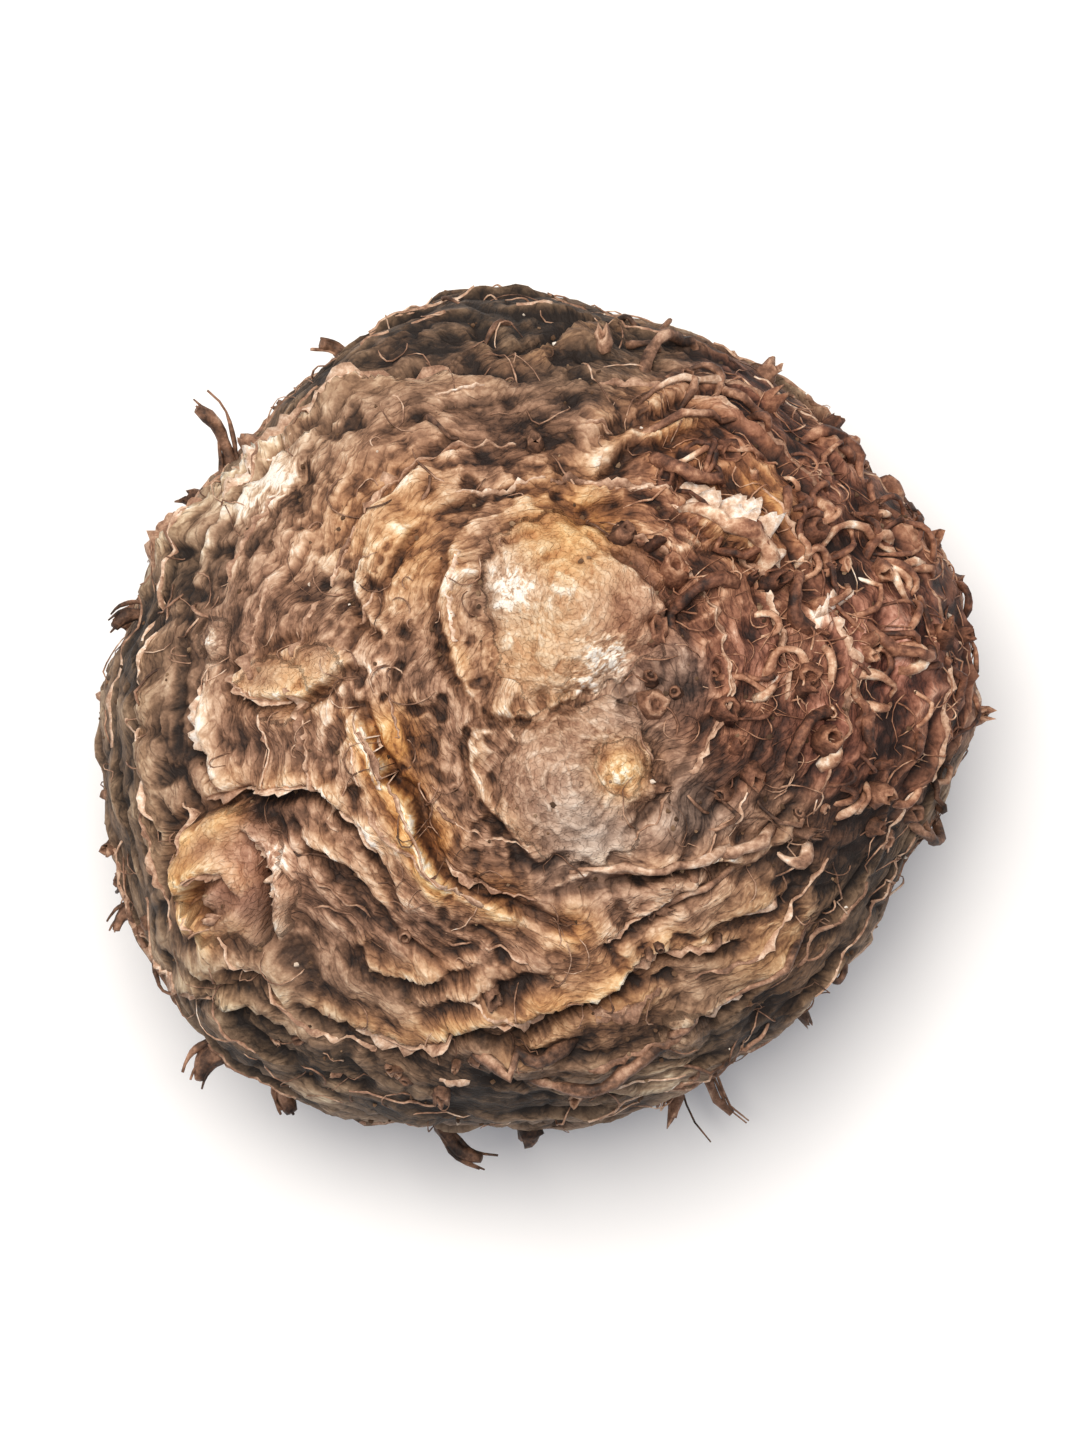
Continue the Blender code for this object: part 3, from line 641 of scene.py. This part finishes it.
def surface(tree, tone, tints, bump, dull, shine):
    """Ends a material: coloured brown by its tone, and with other tones mixed in by their shares."""
    colour = add(tree, "ValToRGB", {"Fac": tone}, zip(TONE_PLACES, BROWN))
    for share, tones in tints:
        tinted = add(tree, "ValToRGB", {"Fac": tone}, zip(TONE_PLACES, tones))
        colour = add(tree, "Mix", {0: share, 6: colour, 7: tinted}, data_type="RGBA").outputs[2]
    sockets = {"Base Color": colour, "Roughness": dull, "Specular IOR Level": shine, "Normal": bump}
    add(tree, "OutputMaterial", {"Surface": add(tree, "BsdfPrincipled", sockets)})


uneven = add(tree, "Math", {0: patterns["blotches"], 1: 1.2, 2: 0.35}, operation="MULTIPLY_ADD")
tints = []
for name, tones in TINTS.items():
    share = add(tree, "Math", {0: marks[name], 1: uneven}, operation="MULTIPLY", use_clamp=True)
    tints.append((share, tones))
bump = add(tree, "Bump", {"Height": patterns["specks"], "Strength": 0.6, "Distance": 0.09 * MM})
for name, strength, depth in (("mottle", 0.4, 0.20), ("fibres", 0.7, 0.12), ("whole", 0.7, 0.05)):
    sockets = {"Height": patterns[name], "Strength": strength, "Distance": depth * MM, "Normal": bump}
    bump = add(tree, "Bump", sockets)
dull = add(tree, "Math", {0: marks["bud"], 1: -0.28, 2: 0.76}, operation="MULTIPLY_ADD")
surface(tree, tone, tints, bump, dull, 0.38)
skin.data.materials.append(cork)
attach(skin, "root")
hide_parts("tuber")


# THE LEAF-BASE SCRAPS. What is left of old leaf bases: thin papery strips, frayed along the top,
# that stand and curl on the ledges and on the ring scars that they grew from.
SCRAP_THICKNESS = 0.06 * MM
SCRAP_COLUMN = 0.22  # millimetres between the columns of a scrap
SCRAPPY_LIP = 0.56  # ledges with a lower lip have no scraps left on them
SCAR_SCRAPS = 230
draw = random.Random(5)


def scar_line(ring, start, length):
    """Directions along a ring scar, from a turn in radians over a length in millimetres."""
    angle = SCAR_FIRST + SCAR_PITCH * ring
    around = math.sin(angle) * MEAN_RADIUS / MM
    steps = range(round(length / SCRAP_COLUMN) + 1)
    return [ring_way(angle, start - step * SCRAP_COLUMN / around) for step in steps]


scraps = []
for (lip, _, _), line in zip(LEDGES, ledge_lines):
    for _ in range(round(len(line) / 12) if lip > SCRAPPY_LIP else 0):
        first = draw.randrange(len(line) - 6)
        last = min(len(line) - 1, first + draw.randint(7, 26))
        scraps.append((line[first : last + 1], 0.75 * lip * draw.uniform(0.4, 1.1), draw.uniform(0.3, 1.0)))
for _ in range(SCAR_SCRAPS):
    ring = draw.randrange(len(SCAR_STRENGTHS))
    line = scar_line(ring, draw.uniform(0, math.tau), draw.uniform(1.2, 6.0))
    middle = line[len(line) // 2]
    height = draw.uniform(0.15, 0.55) * min(1.0, 0.3 + 1.6 * max(0.0, abs(middle.z) - 0.1))
    if line[0].z > -0.7 and not on_an_eye(middle, 1.1):
        scraps.append((line, height, draw.uniform(0.0, 0.9)))

# Strips torn loose and folded down flat, straw-pale: where each lies on plan, its height
TORN_STRIPS = (
    ((9.2, 10.4, 10.9, 8.6, 12.4, 7.3, 13.4, 5.8), 0.62),
    ((8.6, 9.6, 10.3, 8.4, 11.6, 7.2), 0.50),
    ((-12.6, 9.6, -10.9, 11.2, -9.0, 12.4), 0.45),
    ((-5.9, -1.2, -5.4, -2.6, -4.9, -4.1), 0.42),
    ((-10.6, -10.4, -10.2, -8.8, -10.7, -7.3), 0.42),
    ((15.0, 3.8, 16.2, 4.3, 17.3, 5.2), 0.42),
    ((-13.4, -3.4, -13.9, -1.6, -13.7, 0.4), 0.30),
    ((-1.7, 3.0, -1.9, 5.2, -1.4, 7.2), 0.22),
)
STRIP_LEAN = 2.2
STRIP_PALENESS = 1.15
scraps = [(line, height, paleness, draw.uniform(-0.2, 1.5)) for line, height, paleness in scraps]
scraps += [(ledge_line(points), height, STRIP_PALENESS, STRIP_LEAN) for points, height in TORN_STRIPS]

sheets = bmesh.new()
edge_layer = sheets.verts.layers.float.new("edge")
shade_layer = sheets.verts.layers.float.new("shade")
for number, (line, height, paleness, lean) in enumerate(scraps):
    made = bmesh.ops.create_grid(sheets, x_segments=len(line) - 1, y_segments=2, size=1)["verts"]
    for vert in made:
        column = round((vert.co.x + 1) / 2 * (len(line) - 1))
        level = (vert.co.y + 1) / 2
        direction = line[column]
        ahead = (line[min(column + 1, len(line) - 1)] - line[max(column - 1, 0)]).normalized()
        point, normal = on_skin(direction)
        wave = Vector((column * 0.31, number * 5.3, 1.7))
        # Lower towards the strip's ends, on top of the buds and at the rim
        ends = math.sin(math.pi * (column + 0.6) / (len(line) + 0.2)) ** 0.5
        ends *= 1 - 0.65 * min(max((direction.z - 0.80) / 0.15, 0.0), 1.0)
        ends *= min(1.0, 0.35 + 1.5 * abs(direction.z))
        frayed = height * ends * (0.65 + 1.1 * noise.noise(wave) + 0.35 * noise.noise(wave * 3.3))
        rise = max(frayed, 0.08) * level - 0.22 * (1 - level)
        curl = rise * (lean * level + 0.5 * noise.noise(wave * 0.8 + Vector((0, 9, 0))))
        aside = normal.cross(ahead) * (curl + 0.12 * noise.noise(wave * 1.7))
        vert.co = point + (normal * rise + aside) * MM
        vert[edge_layer] = level
        vert[shade_layer] = paleness
leaf_scraps = finished("leaf_base_scraps", sheets)
thickness = leaf_scraps.modifiers.new("paper_thickness", "SOLIDIFY")
thickness.thickness = SCRAP_THICKNESS
thickness.offset = 0


def dead_tissue(name, start, marks, noises, relief, dull, shine, tints=()):
    """A material of dead leaf or root, brown unless a mark of the mesh tints it. Its tone starts at a
    value and adds marks and noises by their weights. A noise is its width in millimetres, detail,
    roughness and weight; the last one also gives the bump, with a strength and a depth."""
    material = bare_material(name)
    tree = material.node_tree
    place = add(tree, "TexCoord").outputs["Object"]
    parts = [(add(tree, "Attribute", attribute_name=mark).outputs["Fac"], weight) for mark, weight in marks]
    for width, detail, rough, weight in noises:
        sockets = {"Vector": place, "Scale": 1 / (width * MM), "Detail": detail, "Roughness": rough}
        parts.append((add(tree, "TexNoise", sockets), weight))
    tone = start
    for source, weight in parts:
        tone = add(tree, "Math", {0: source, 1: weight, 2: tone}, operation="MULTIPLY_ADD")
    tints = [(add(tree, "Attribute", attribute_name=mark).outputs["Fac"], tones) for mark, tones in tints]
    bump = add(tree, "Bump", {"Height": parts[-1][0], "Strength": relief[0], "Distance": relief[1] * MM})
    surface(tree, tone, tints, bump, dull, shine)
    return material


# Dry leaf-base tissue, like brown paper: mottled, brown at its foot and straw at the fray.
MOTTLE, FINE_MOTTLE = (0.8, 4.0, 0.65, 0.85), (0.18, 2.0, 0.6, 0.40)
marks = (("edge", 0.16), ("shade", 0.34))
papery = dead_tissue("papery_leaf_base", -0.30, marks, (MOTTLE, FINE_MOTTLE), (0.5, 0.08), 0.65, 0.4)
leaf_scraps.data.materials.append(papery)
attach(leaf_scraps, "root")


# THE BROKEN ROOTS. Short woody stubs all over the skin and crowded on the crown at +X, left where
# roots snapped off when the tuber was cleaned. Each is a crooked tube with a hollow, torn end.
GOLDEN_ANGLE = math.pi * (3 - math.sqrt(5))
ROOT_SUNK, STUB_SUNK = 0.0011, 0.0007
STUB_LENGTH = (0.0005, 0.0013)
CROWN_THICKNESS = (0.00115, 0.00165)
SKIN_THICKNESS = (0.00085, 0.00125)
SMALL_THICKNESS = (0.00040, 0.00105)
CROWN_STUBS, SKIN_STUBS = 34, 30
MORE_CROWN_STUBS, MORE_SKIN_STUBS = 90, 130
CROWN_SPREAD, MORE_CROWN_SPREAD = 0.62, 0.66
RIM_BAND = 0.30  # no higher or lower than this, a direction's stub would show in the outline
RIM_SHARE = 0.2
HIGHEST_STUB = 0.90  # the buds above this are bare
FOOT_COVER = 0.00025


def round_the_crown(count, spread):
    """Directions evenly packed round the crown's middle."""
    facing = Vector((0, 0, 1)).rotation_difference(CROWN_MIDDLE)
    for index in range(count):
        yield facing @ polar(spread * math.sqrt((index + 0.5) / count), index * GOLDEN_ANGLE)


def over_the_skin(count, clearance, step=0.7548, lowest=-0.75, highest=0.94):
    """Directions scattered over the skin, clear of the eyes, the crown and the base."""
    crown = bearing(CROWN[0], CROWN[1])
    placed = index = 0
    while placed < count:
        height = 1 - 2 * (index * step % 1)
        direction = bearing(math.degrees(index * GOLDEN_ANGLE), math.degrees(math.asin(height)))
        index += 1
        clear = not on_an_eye(direction, clearance)
        if clear and lowest < height < highest and direction.angle(crown) > CROWN_SPREAD + 0.05:
            placed += 1
            yield direction


def stub_ends(direction, length, lean, tilt):
    """The foot of a root broken off short, its heading and its length."""
    foot, normal = on_skin(direction)
    side = normal.orthogonal().normalized()
    aside = side * math.cos(lean) + normal.cross(side) * math.sin(lean)
    return foot, (normal + aside * tilt).normalized(), length


def can_stand(direction, foot, heading):
    """Whether a stub is below the bare buds, off the eyes, and has its foot well inside the skin."""
    end = foot - heading * STUB_SUNK
    nearest, outward = skin_tree.find_nearest(end)[:2]
    buried = (end - nearest).dot(outward) < -FOOT_COVER
    return buried and direction.z < HIGHEST_STUB and not on_an_eye(direction, 0.95)


# The thicker stubs, with the same draws as the solid's, then the finer ones between them
draw = random.Random(7)
stubs = []
thick_places = [(way, CROWN_THICKNESS) for way in round_the_crown(CROWN_STUBS, CROWN_SPREAD)]
thick_places += [(way, SKIN_THICKNESS) for way in over_the_skin(SKIN_STUBS, 1.3)]
for direction, thickness in thick_places:
    ends = stub_ends(direction, draw.uniform(*STUB_LENGTH), draw.uniform(0, math.tau), draw.uniform(0, 0.9))
    width = draw.uniform(*thickness)
    if can_stand(direction, *ends[:2]):
        stubs.append((*ends, width))
draw = random.Random(11)
fine_places = [*round_the_crown(MORE_CROWN_STUBS, MORE_CROWN_SPREAD)]
fine_places += over_the_skin(MORE_SKIN_STUBS, 1.05, 0.6180)
for direction in fine_places:
    direction = (direction + 0.06 * Vector([draw.gauss(0, 1) for _ in range(3)])).normalized()
    length = draw.uniform(0.10, 0.90) ** 1.3 * MM
    ends = stub_ends(direction, length, draw.uniform(0, math.tau), draw.uniform(0, 1.6))
    in_outline = abs(direction.z) < RIM_BAND and draw.random() > RIM_SHARE
    if not in_outline and can_stand(direction, *ends[:2]):
        stubs.append((*ends, draw.uniform(*SMALL_THICKNESS)))

# Half the section of one stub, from its foot under the skin up over the broken rim and down inside:
# radius and height, then how pale that part is
STUB_SECTION = (
    (0.60, -0.95, 0.1),
    (1.15, -0.10, 0.2),
    (0.94, 0.36, 0.3),
    (0.84, 0.80, 0.5),
    (0.66, 1.00, 1.0),
    (0.46, 0.90, 0.7),
    (0.34, 0.45, 0.0),
    (0.0, 0.35, 0.0),
)
STUB_SIDES = 8

master = bmesh.new()
profile = [master.verts.new((radius, 0, height)) for radius, height, _ in STUB_SECTION]
profile += [master.edges.new(pair) for pair in zip(profile, profile[1:])]
spun = {"cent": (0, 0, 0), "axis": (0, 0, 1), "angle": math.tau, "steps": STUB_SIDES}
bmesh.ops.spin(master, geom=profile, use_merge=True, **spun)
bmesh.ops.remove_doubles(master, verts=master.verts, dist=1e-4)
bmesh.ops.recalc_face_normals(master, faces=master.faces)
tip_layer = master.verts.layers.float.new("tip")
for vert in master.verts:
    place = Vector((vert.co.xy.length, vert.co.z))
    vert[tip_layer] = min(STUB_SECTION, key=lambda part: (Vector(part[:2]) - place).length)[2]
stub_mesh = bpy.data.meshes.new("stub_pattern")
master.to_mesh(stub_mesh)
master.free()

heap = bmesh.new()
shade_layer = heap.verts.layers.float.new("shade")
red_layer = heap.verts.layers.float.new("crown")
for number, (foot, heading, length, thickness) in enumerate(stubs):
    known = len(heap.verts)
    heap.from_mesh(stub_mesh)
    heap.verts.ensure_lookup_table()
    fresh = heap.verts[known:]
    wave = Vector((number * 3.7, 1.3, 2.1))
    shade, squash, cut = draw.random(), draw.uniform(0.7, 1.0), draw.uniform(0.0, 0.7)
    bend = draw.uniform(-0.5, 0.5)
    redness = crown_share((foot - CENTRE).normalized())
    # Stubs at the crown's right rim are lighter: painted highlight.
    shade += 0.4 * patch_strength((foot - CENTRE) / MM, ROSY_HIGHLIGHTS)
    for vert in fresh:
        x, y, height = vert.co
        vert[shade_layer] = shade
        vert[red_layer] = redness
        ragged = 1 + 0.5 * noise.noise(Vector((x, y, height)) * 1.3 + wave)
        if height > 0:
            torn_off = max(0.6, min(1.25, 1 + 1.2 * noise.noise(Vector((x, y, 0)) * 2.3 + wave)))
            height *= length * max(0.5, 1 + cut * min(x, 0.2)) * torn_off
        else:
            height *= STUB_SUNK
        x = x * ragged * thickness / 2 + bend * max(height, 0.0) ** 2 / length
        vert.co = Vector((x, y * squash * ragged * thickness / 2, height))
    spin = Matrix.Rotation(draw.uniform(0, math.tau), 4, "Z")
    upright = Vector((0, 0, 1)).rotation_difference(heading).to_matrix().to_4x4()
    bmesh.ops.transform(heap, matrix=Matrix.Translation(foot) @ upright @ spin, verts=fresh)
root_stubs = finished("root_stubs", heap)

# Dead root tissue, woody and dull: dark red-brown down the side and where the core has rotted out,
# straw-pale at the torn rim.
GRIME = (0.45, 4.0, 0.7, 0.90)
RED_CROWN = (("crown", RUDDY),)
marks = (("tip", 0.28), ("shade", 0.34))
dead_root = dead_tissue("dead_root_wood", -0.37, marks, (GRIME,), (0.8, 0.15), 0.75, 0.35, RED_CROWN)
root_stubs.data.materials.append(dead_root)
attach(root_stubs, "root")


# THE DRIED ROOTS. Thin fibrous roots that stayed on when the tuber dried: looped and curled over
# the crown, lying along the ridges elsewhere, and standing out at the rim. Each is a tapered tube.
# First the loops that the solid has too: where each starts, its length, heading and turn.
LOOPED_ROOTS = (
    (-3, 34, 0.0062, 60, 210),
    (9, 20, 0.0058, 150, -190),
    (22, 44, 0.0066, 20, 170),
    (30, 16, 0.0060, -70, 200),
    (44, 32, 0.0064, 100, -160),
    (-14, 12, 0.0056, -150, 150),
    (12, 36, 0.0054, 80, -220),
    (58, 14, 0.0060, 10, 120),
    (-60, 24, 0.0090, 172, 22),
    (-96, 30, 0.0074, 12, -30),
)
LOOP_THICKNESS = 0.00068
LOOP_LIFT = 0.00095
CROWN_CURLS, LAID_ROOTS = 60, 45

# The roots that stand out at the rim: azimuth, elevation, length, thickness, lean in plan
RIM_ROOTS = (
    (138, 6, 0.0031, 0.00115, -42),
    (113, 2, 0.0014, 0.00125, 10),
    (166, 8, 0.0013, 0.00095, 15),
    (-150, 2, 0.0011, 0.00100, 0),
    (-128, 4, 0.0016, 0.00135, -20),
    (-118, -4, 0.0012, 0.00120, 20),
    (-97, -8, 0.0026, 0.00125, 30),
    (-57, -24, 0.0052, 0.00085, -35),
)
RIM_JOINTS = 7
SPLINTERS = 3


def loop_points(azimuth, elevation, length, heading, turn, lift=LOOP_LIFT, joints=16, sunk=ROOT_SUNK):
    """Points along a root that rises from the skin, turns as it runs over it, and meets it again."""
    direction = bearing(azimuth, elevation)
    points = []
    for joint in range(joints + 1):
        foot, normal = on_skin(direction)
        points.append(foot + normal * ((lift + sunk) * math.sin(math.pi * joint / joints) - sunk))
        east = Vector((-direction.y, direction.x, 0)).normalized()
        way = math.radians(heading + turn * joint / joints)
        step = east * math.cos(way) + direction.cross(east) * math.sin(way)
        direction = (direction + step * (length / joints / MEAN_RADIUS)).normalized()
    return points


def curled_root(draw, start, turns, lengths, widths, lifts, taper, **bent):
    """A root that curls over the skin from a start, drawn from ranges in degrees and millimetres."""
    turn = draw.choice((-1, 1)) * draw.uniform(*turns)
    length, heading = draw.uniform(*lengths) * MM, draw.uniform(0, 360)
    thickness = draw.uniform(*widths) * MM
    points = loop_points(*start, length, heading, turn, draw.uniform(*lifts) * MM, **bent)
    return points, thickness, taper * thickness


def rim_points(azimuth, elevation, length, lean):
    """A root that stands out from the rim, turned away from square to it by a lean in plan."""
    foot, normal = on_skin(bearing(azimuth, elevation))
    heading = bearing(math.degrees(math.atan2(normal.y, normal.x)) + lean, elevation)
    bend = 0.45 * Vector((-heading.y, heading.x, 0.4))
    points = [foot - normal * ROOT_SUNK, foot - normal * 0.3 * MM]
    for step in range(1, RIM_JOINTS + 1):
        share = step / RIM_JOINTS
        strayed = noise.noise(foot / MM + Vector((0, 0, 3 * share)))
        points.append(foot + (heading + bend * (share * share + 0.25 * strayed)) * length * share)
    return points


def laid_points(points, lift):
    """Points along a root that lies on the skin over plan offsets x, y, x, y in millimetres."""
    line = ledge_line(points)[::4]
    raised = []
    for step, direction in enumerate(line):
        foot, normal = on_skin(direction)
        arch = abs(math.sin(math.pi * step / (len(line) - 1))) ** 0.5
        raised.append(foot + normal * MM * (lift * arch - 0.1))
    return raised


def tubes(name, lines, resolution, paleness):
    """An object of closed tubes through lines of points, each line with its thickness at both ends."""
    curve = bpy.data.curves.new(name, "CURVE")
    curve.dimensions = "3D"
    curve.bevel_depth = 1.0
    curve.bevel_resolution = resolution
    curve.use_fill_caps = True
    for points, first, last in lines:
        spline = curve.splines.new("POLY")
        spline.points.add(len(points) - 1)
        for index, (knot, point) in enumerate(zip(spline.points, points)):
            knot.co = (*point, 1)
            shrunk = 1 + 0.7 * noise.noise(point * (0.9 / MM))
            knot.radius = shrunk * (first + (last - first) * index / (len(points) - 1)) / 2
    guide = bpy.data.objects.new(name, curve)
    bpy.context.scene.collection.objects.link(guide)
    bpy.context.view_layer.update()
    graph = bpy.context.evaluated_depsgraph_get()
    mesh = bpy.data.meshes.new_from_object(guide.evaluated_get(graph))
    bpy.data.objects.remove(guide)
    tube = bmesh.new()
    tube.from_mesh(mesh)
    bpy.data.meshes.remove(mesh)
    bmesh.ops.remove_doubles(tube, verts=tube.verts, dist=1e-7)
    bmesh.ops.recalc_face_normals(tube, faces=tube.faces)
    red_layer = tube.verts.layers.float.new("crown")
    pale_layer = tube.verts.layers.float.new("pale")
    for vert in tube.verts:
        vert[red_layer] = crown_share((vert.co - CENTRE).normalized())
        # Roots at the crown's right rim are lighter: painted highlight.
        vert[pale_layer] = paleness + 0.4 * patch_strength((vert.co - CENTRE) / MM, ROSY_HIGHLIGHTS)
    return finished(name, tube)


draw = random.Random(23)
roots = [(loop_points(*place), LOOP_THICKNESS, 0.85 * LOOP_THICKNESS) for place in LOOPED_ROOTS]
for azimuth, elevation, length, thickness, lean in RIM_ROOTS:
    roots.append((rim_points(azimuth, elevation, length, lean), thickness, 0.45 * thickness))
    for _ in range(SPLINTERS):
        beside, leaned = azimuth + draw.gauss(0, 1.2), lean + draw.gauss(0, 12)
        splinter = rim_points(beside, elevation, 1.15 * length, leaned)
        roots.append((splinter, 0.35 * thickness, 0.10 * thickness))
for _ in range(CROWN_CURLS):
    start = (draw.gauss(20, 20), draw.gauss(25, 11))
    roots.append(curled_root(draw, start, (60, 300), (1.8, 5.0), (0.22, 0.60), (0.3, 0.8), 0.7, joints=12))
for _ in range(LAID_ROOTS):
    azimuth, elevation = draw.uniform(0, 360), draw.uniform(-35, 55)
    heading = draw.choice((0, 180)) + draw.gauss(0, 24)
    place = (azimuth, elevation, draw.uniform(2.0, 6.0) * MM, heading, draw.gauss(0, 90))
    thickness = draw.uniform(0.16, 0.36) * MM
    roots.append((loop_points(*place, draw.uniform(0.15, 0.5) * MM, joints=14), thickness, 0.5 * thickness))
dried_roots = tubes("dried_roots", roots, 1, 0.0)

# Roots rubbed pale: first where they lie on plan, in millimetres, and their thickness, then the
# many short curls between the crown's stubs
PALE_ROOTS = (
    ((13.8, -6.2, 12.2, -6.9, 10.6, -7.4), 0.75),
    ((11.4, -7.0, 9.0, -7.6, 6.4, -7.8, 3.4, -8.2), 0.50),
    ((12.0, -8.2, 9.2, -9.6, 6.6, -10.8), 0.42),
    ((15.5, -11.4, 12.6, -13.2, 10.2, -14.9), 0.36),
    ((13.9, -9.7, 13.1, -10.2, 12.2, -10.5), 0.62),
    ((9.8, -15.2, 9.1, -15.6, 8.5, -16.2), 0.62),
    ((11.2, -11.5, 10.2, -12.0, 9.4, -12.8), 0.50),
    ((8.0, -12.6, 7.2, -13.1, 6.5, -13.9), 0.45),
    ((12.9, 5.8, 12.3, 6.9, 11.0, 7.6, 9.6, 8.6, 9.0, 9.4), 0.85),
    ((14.6, 6.6, 14.2, 7.4, 14.7, 8.0, 15.3, 7.4, 15.0, 6.5), 0.42),
    ((15.2, 6.4, 15.9, 7.9, 17.2, 8.3, 18.5, 7.4, 19.6, 6.9), 0.50),
    ((15.3, 4.6, 16.3, 4.8, 17.4, 5.8), 0.55),
    ((13.0, 1.0, 13.4, 2.3, 14.3, 2.3, 14.7, 1.4), 0.55),
    ((15.5, 2.5, 15.7, 1.5, 15.8, 0.6), 0.50),
    ((12.6, 0.1, 13.0, 0.6, 13.7, 0.9), 0.45),
    ((18.0, 2.2, 18.8, 3.0, 19.6, 2.7), 0.40),
    ((17.4, -0.2, 18.4, -0.3, 19.3, 0.0), 0.46),
    ((11.4, 15.0, 8.6, 14.9, 6.5, 14.0), 0.45),
    ((11.8, 13.4, 9.2, 13.3, 6.6, 12.5), 0.45),
    ((13.0, 11.6, 10.4, 11.9, 8.2, 11.2), 0.40),
)
PALE_CURLS = 26
RUBBED_PALENESS = 0.82
pale_roots = [(laid_points(points, 0.45), width * MM, 0.7 * width * MM) for points, width in PALE_ROOTS]
for _ in range(PALE_CURLS):
    start = (draw.gauss(14, 20), draw.gauss(26, 11))
    shape = ((60, 260), (1.6, 3.2), (0.30, 0.75), (0.3, 0.7), 0.6)
    pale_roots.append(curled_root(draw, start, *shape, joints=10, sunk=0.4 * MM))
rubbed_roots = tubes("rubbed_roots", pale_roots, 1, RUBBED_PALENESS)

# Dead root bark, shrunk in lengthwise creases, brown to red-brown, straw-pale where it is rubbed.
STRETCHES, CREASES = (1.6, 2.0, 0.5, 1.4), (0.3, 4.0, 0.65, 0.8)
marks = (("pale", 0.32),)
root_bark = dead_tissue("dead_root_bark", -0.77, marks, (STRETCHES, CREASES), (0.6, 0.1), 0.7, 0.4, RED_CROWN)
for piece in (dried_roots, rubbed_roots):
    piece.data.materials.append(root_bark)
    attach(piece, "root")


# THE ROOT HAIRS. Hair-fine side roots, dead and brittle, that lie close to the skin and are
# caught on its ridges, thickest over the crown. They are the same bark as the dried roots.
HAIRS, CROWN_HAIRS = 660, 200
HAIR_PALENESS = 0.55
draw = random.Random(31)
hairs = []
for number in range(HAIRS):
    start = (draw.uniform(0, 360), math.degrees(math.asin(draw.uniform(-0.6, 0.97))))
    if number < CROWN_HAIRS:
        start = (draw.gauss(18, 25), draw.gauss(27, 15))
    shape = ((20, 240), (1.0, 4.5), (0.06, 0.13), (0.08, 0.40), 0.6)
    hair = curled_root(draw, start, *shape, joints=9, sunk=0.12 * MM)
    if not on_an_eye(bearing(*start), 0.9):
        hairs.append(hair)
root_hairs = tubes("root_hairs", hairs, 0, HAIR_PALENESS)
root_hairs.data.materials.append(root_bark)
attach(root_hairs, "root")


# THE SOIL CRUMBS. Dry potting soil that stayed in the furrows when the tuber was cleaned: dark
# angular crumbs, and here and there a pale grain of sand.
SOIL_COUNT = 900
SAND_SHARE = 0.06
draw = random.Random(41)
soil = bmesh.new()
shade_layer = soil.verts.layers.float.new("shade")
for number in range(SOIL_COUNT):
    middle = bearing(draw.uniform(0, 360), math.degrees(math.asin(draw.uniform(-0.8, 0.97))))
    if on_an_eye(middle, 0.9) and draw.random() < 0.75:
        continue
    nearby = [(middle + 0.035 * Vector([draw.gauss(0, 1) for _ in range(3)])).normalized() for _ in range(5)]
    foot, normal = min((on_skin(way) for way in nearby), key=lambda found: (found[0] - CENTRE).length)
    radius = draw.uniform(0.05, 0.16) * MM
    sandy = draw.random() < SAND_SHARE
    shade = draw.uniform(0.75, 1.0) if sandy else draw.uniform(0.15, 0.65)
    for vert in bmesh.ops.create_icosphere(soil, subdivisions=1, radius=1)["verts"]:
        jagged = 1 + 0.9 * noise.noise(vert.co * 1.4 + Vector((number * 2.3, 0.7, 5.1)))
        vert.co = foot + normal * (0.3 * radius) + vert.co * (radius * jagged)
        vert[shade_layer] = shade
soil_crumbs = finished("soil_crumbs", soil, smooth=False)

# Dry peaty soil with quartz sand: dull, near black-brown, the sand cream.
SOIL = ((0.0, "2b1f17"), (0.5, "664b36"), (0.74, "a88c70"), (1.0, "efe6da"))
soil_material = bare_material("dry_potting_soil")
tree = soil_material.node_tree
shade = add(tree, "Attribute", attribute_name="shade").outputs["Fac"]
colour = add(tree, "ValToRGB", {"Fac": shade}, SOIL)
sockets = {"Base Color": colour, "Roughness": 0.85, "Specular IOR Level": 0.3}
add(tree, "OutputMaterial", {"Surface": add(tree, "BsdfPrincipled", sockets)})
soil_crumbs.data.materials.append(soil_material)
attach(soil_crumbs, "root")


# THE SURFACE IT LIES ON, THE LIGHT AND THE CAMERA. A white sweep, one large soft light from the
# upper left and even light from all round; the camera looks straight down, +Y up in the picture.
sweep = bmesh.new()
bmesh.ops.create_grid(sweep, x_segments=2, y_segments=2, size=1.5)
floor = finished("white_floor", sweep, smooth=False)
white = bare_material("matt_white_laminate")
tree = white.node_tree
matt = add(tree, "BsdfPrincipled", {"Base Color": linear("f4f4f5"), "Roughness": 0.6})
add(tree, "OutputMaterial", {"Surface": matt})
floor.data.materials.append(white)

scene = bpy.context.scene
world = bpy.data.worlds.new("studio")
world.use_nodes = True
background = world.node_tree.nodes["Background"].inputs
background["Color"].default_value = linear("eef3ff")
background["Strength"].default_value = 0.40
scene.world = world

LIGHT_DISTANCE = 0.9
key_lamp = bpy.data.lights.new("key_light", "AREA")
key_lamp.size = 0.50
key_lamp.energy = 10.0
key_lamp.color = linear("fff8ee")[:3]
key = bpy.data.objects.new("key_light", key_lamp)
key.location = bearing(112, 76) * LIGHT_DISTANCE
key.rotation_euler = key.location.to_track_quat("Z", "Y").to_euler()
scene.collection.objects.link(key)

camera_data = bpy.data.cameras.new("overhead_camera")
camera_data.lens = 200
camera_data.sensor_width = 36
camera_data.clip_start = 0.01
camera = bpy.data.objects.new("overhead_camera", camera_data)
camera.location = (0, 0, 0.42)
scene.collection.objects.link(camera)
scene.camera = camera
scene.view_settings.view_transform = "Standard"
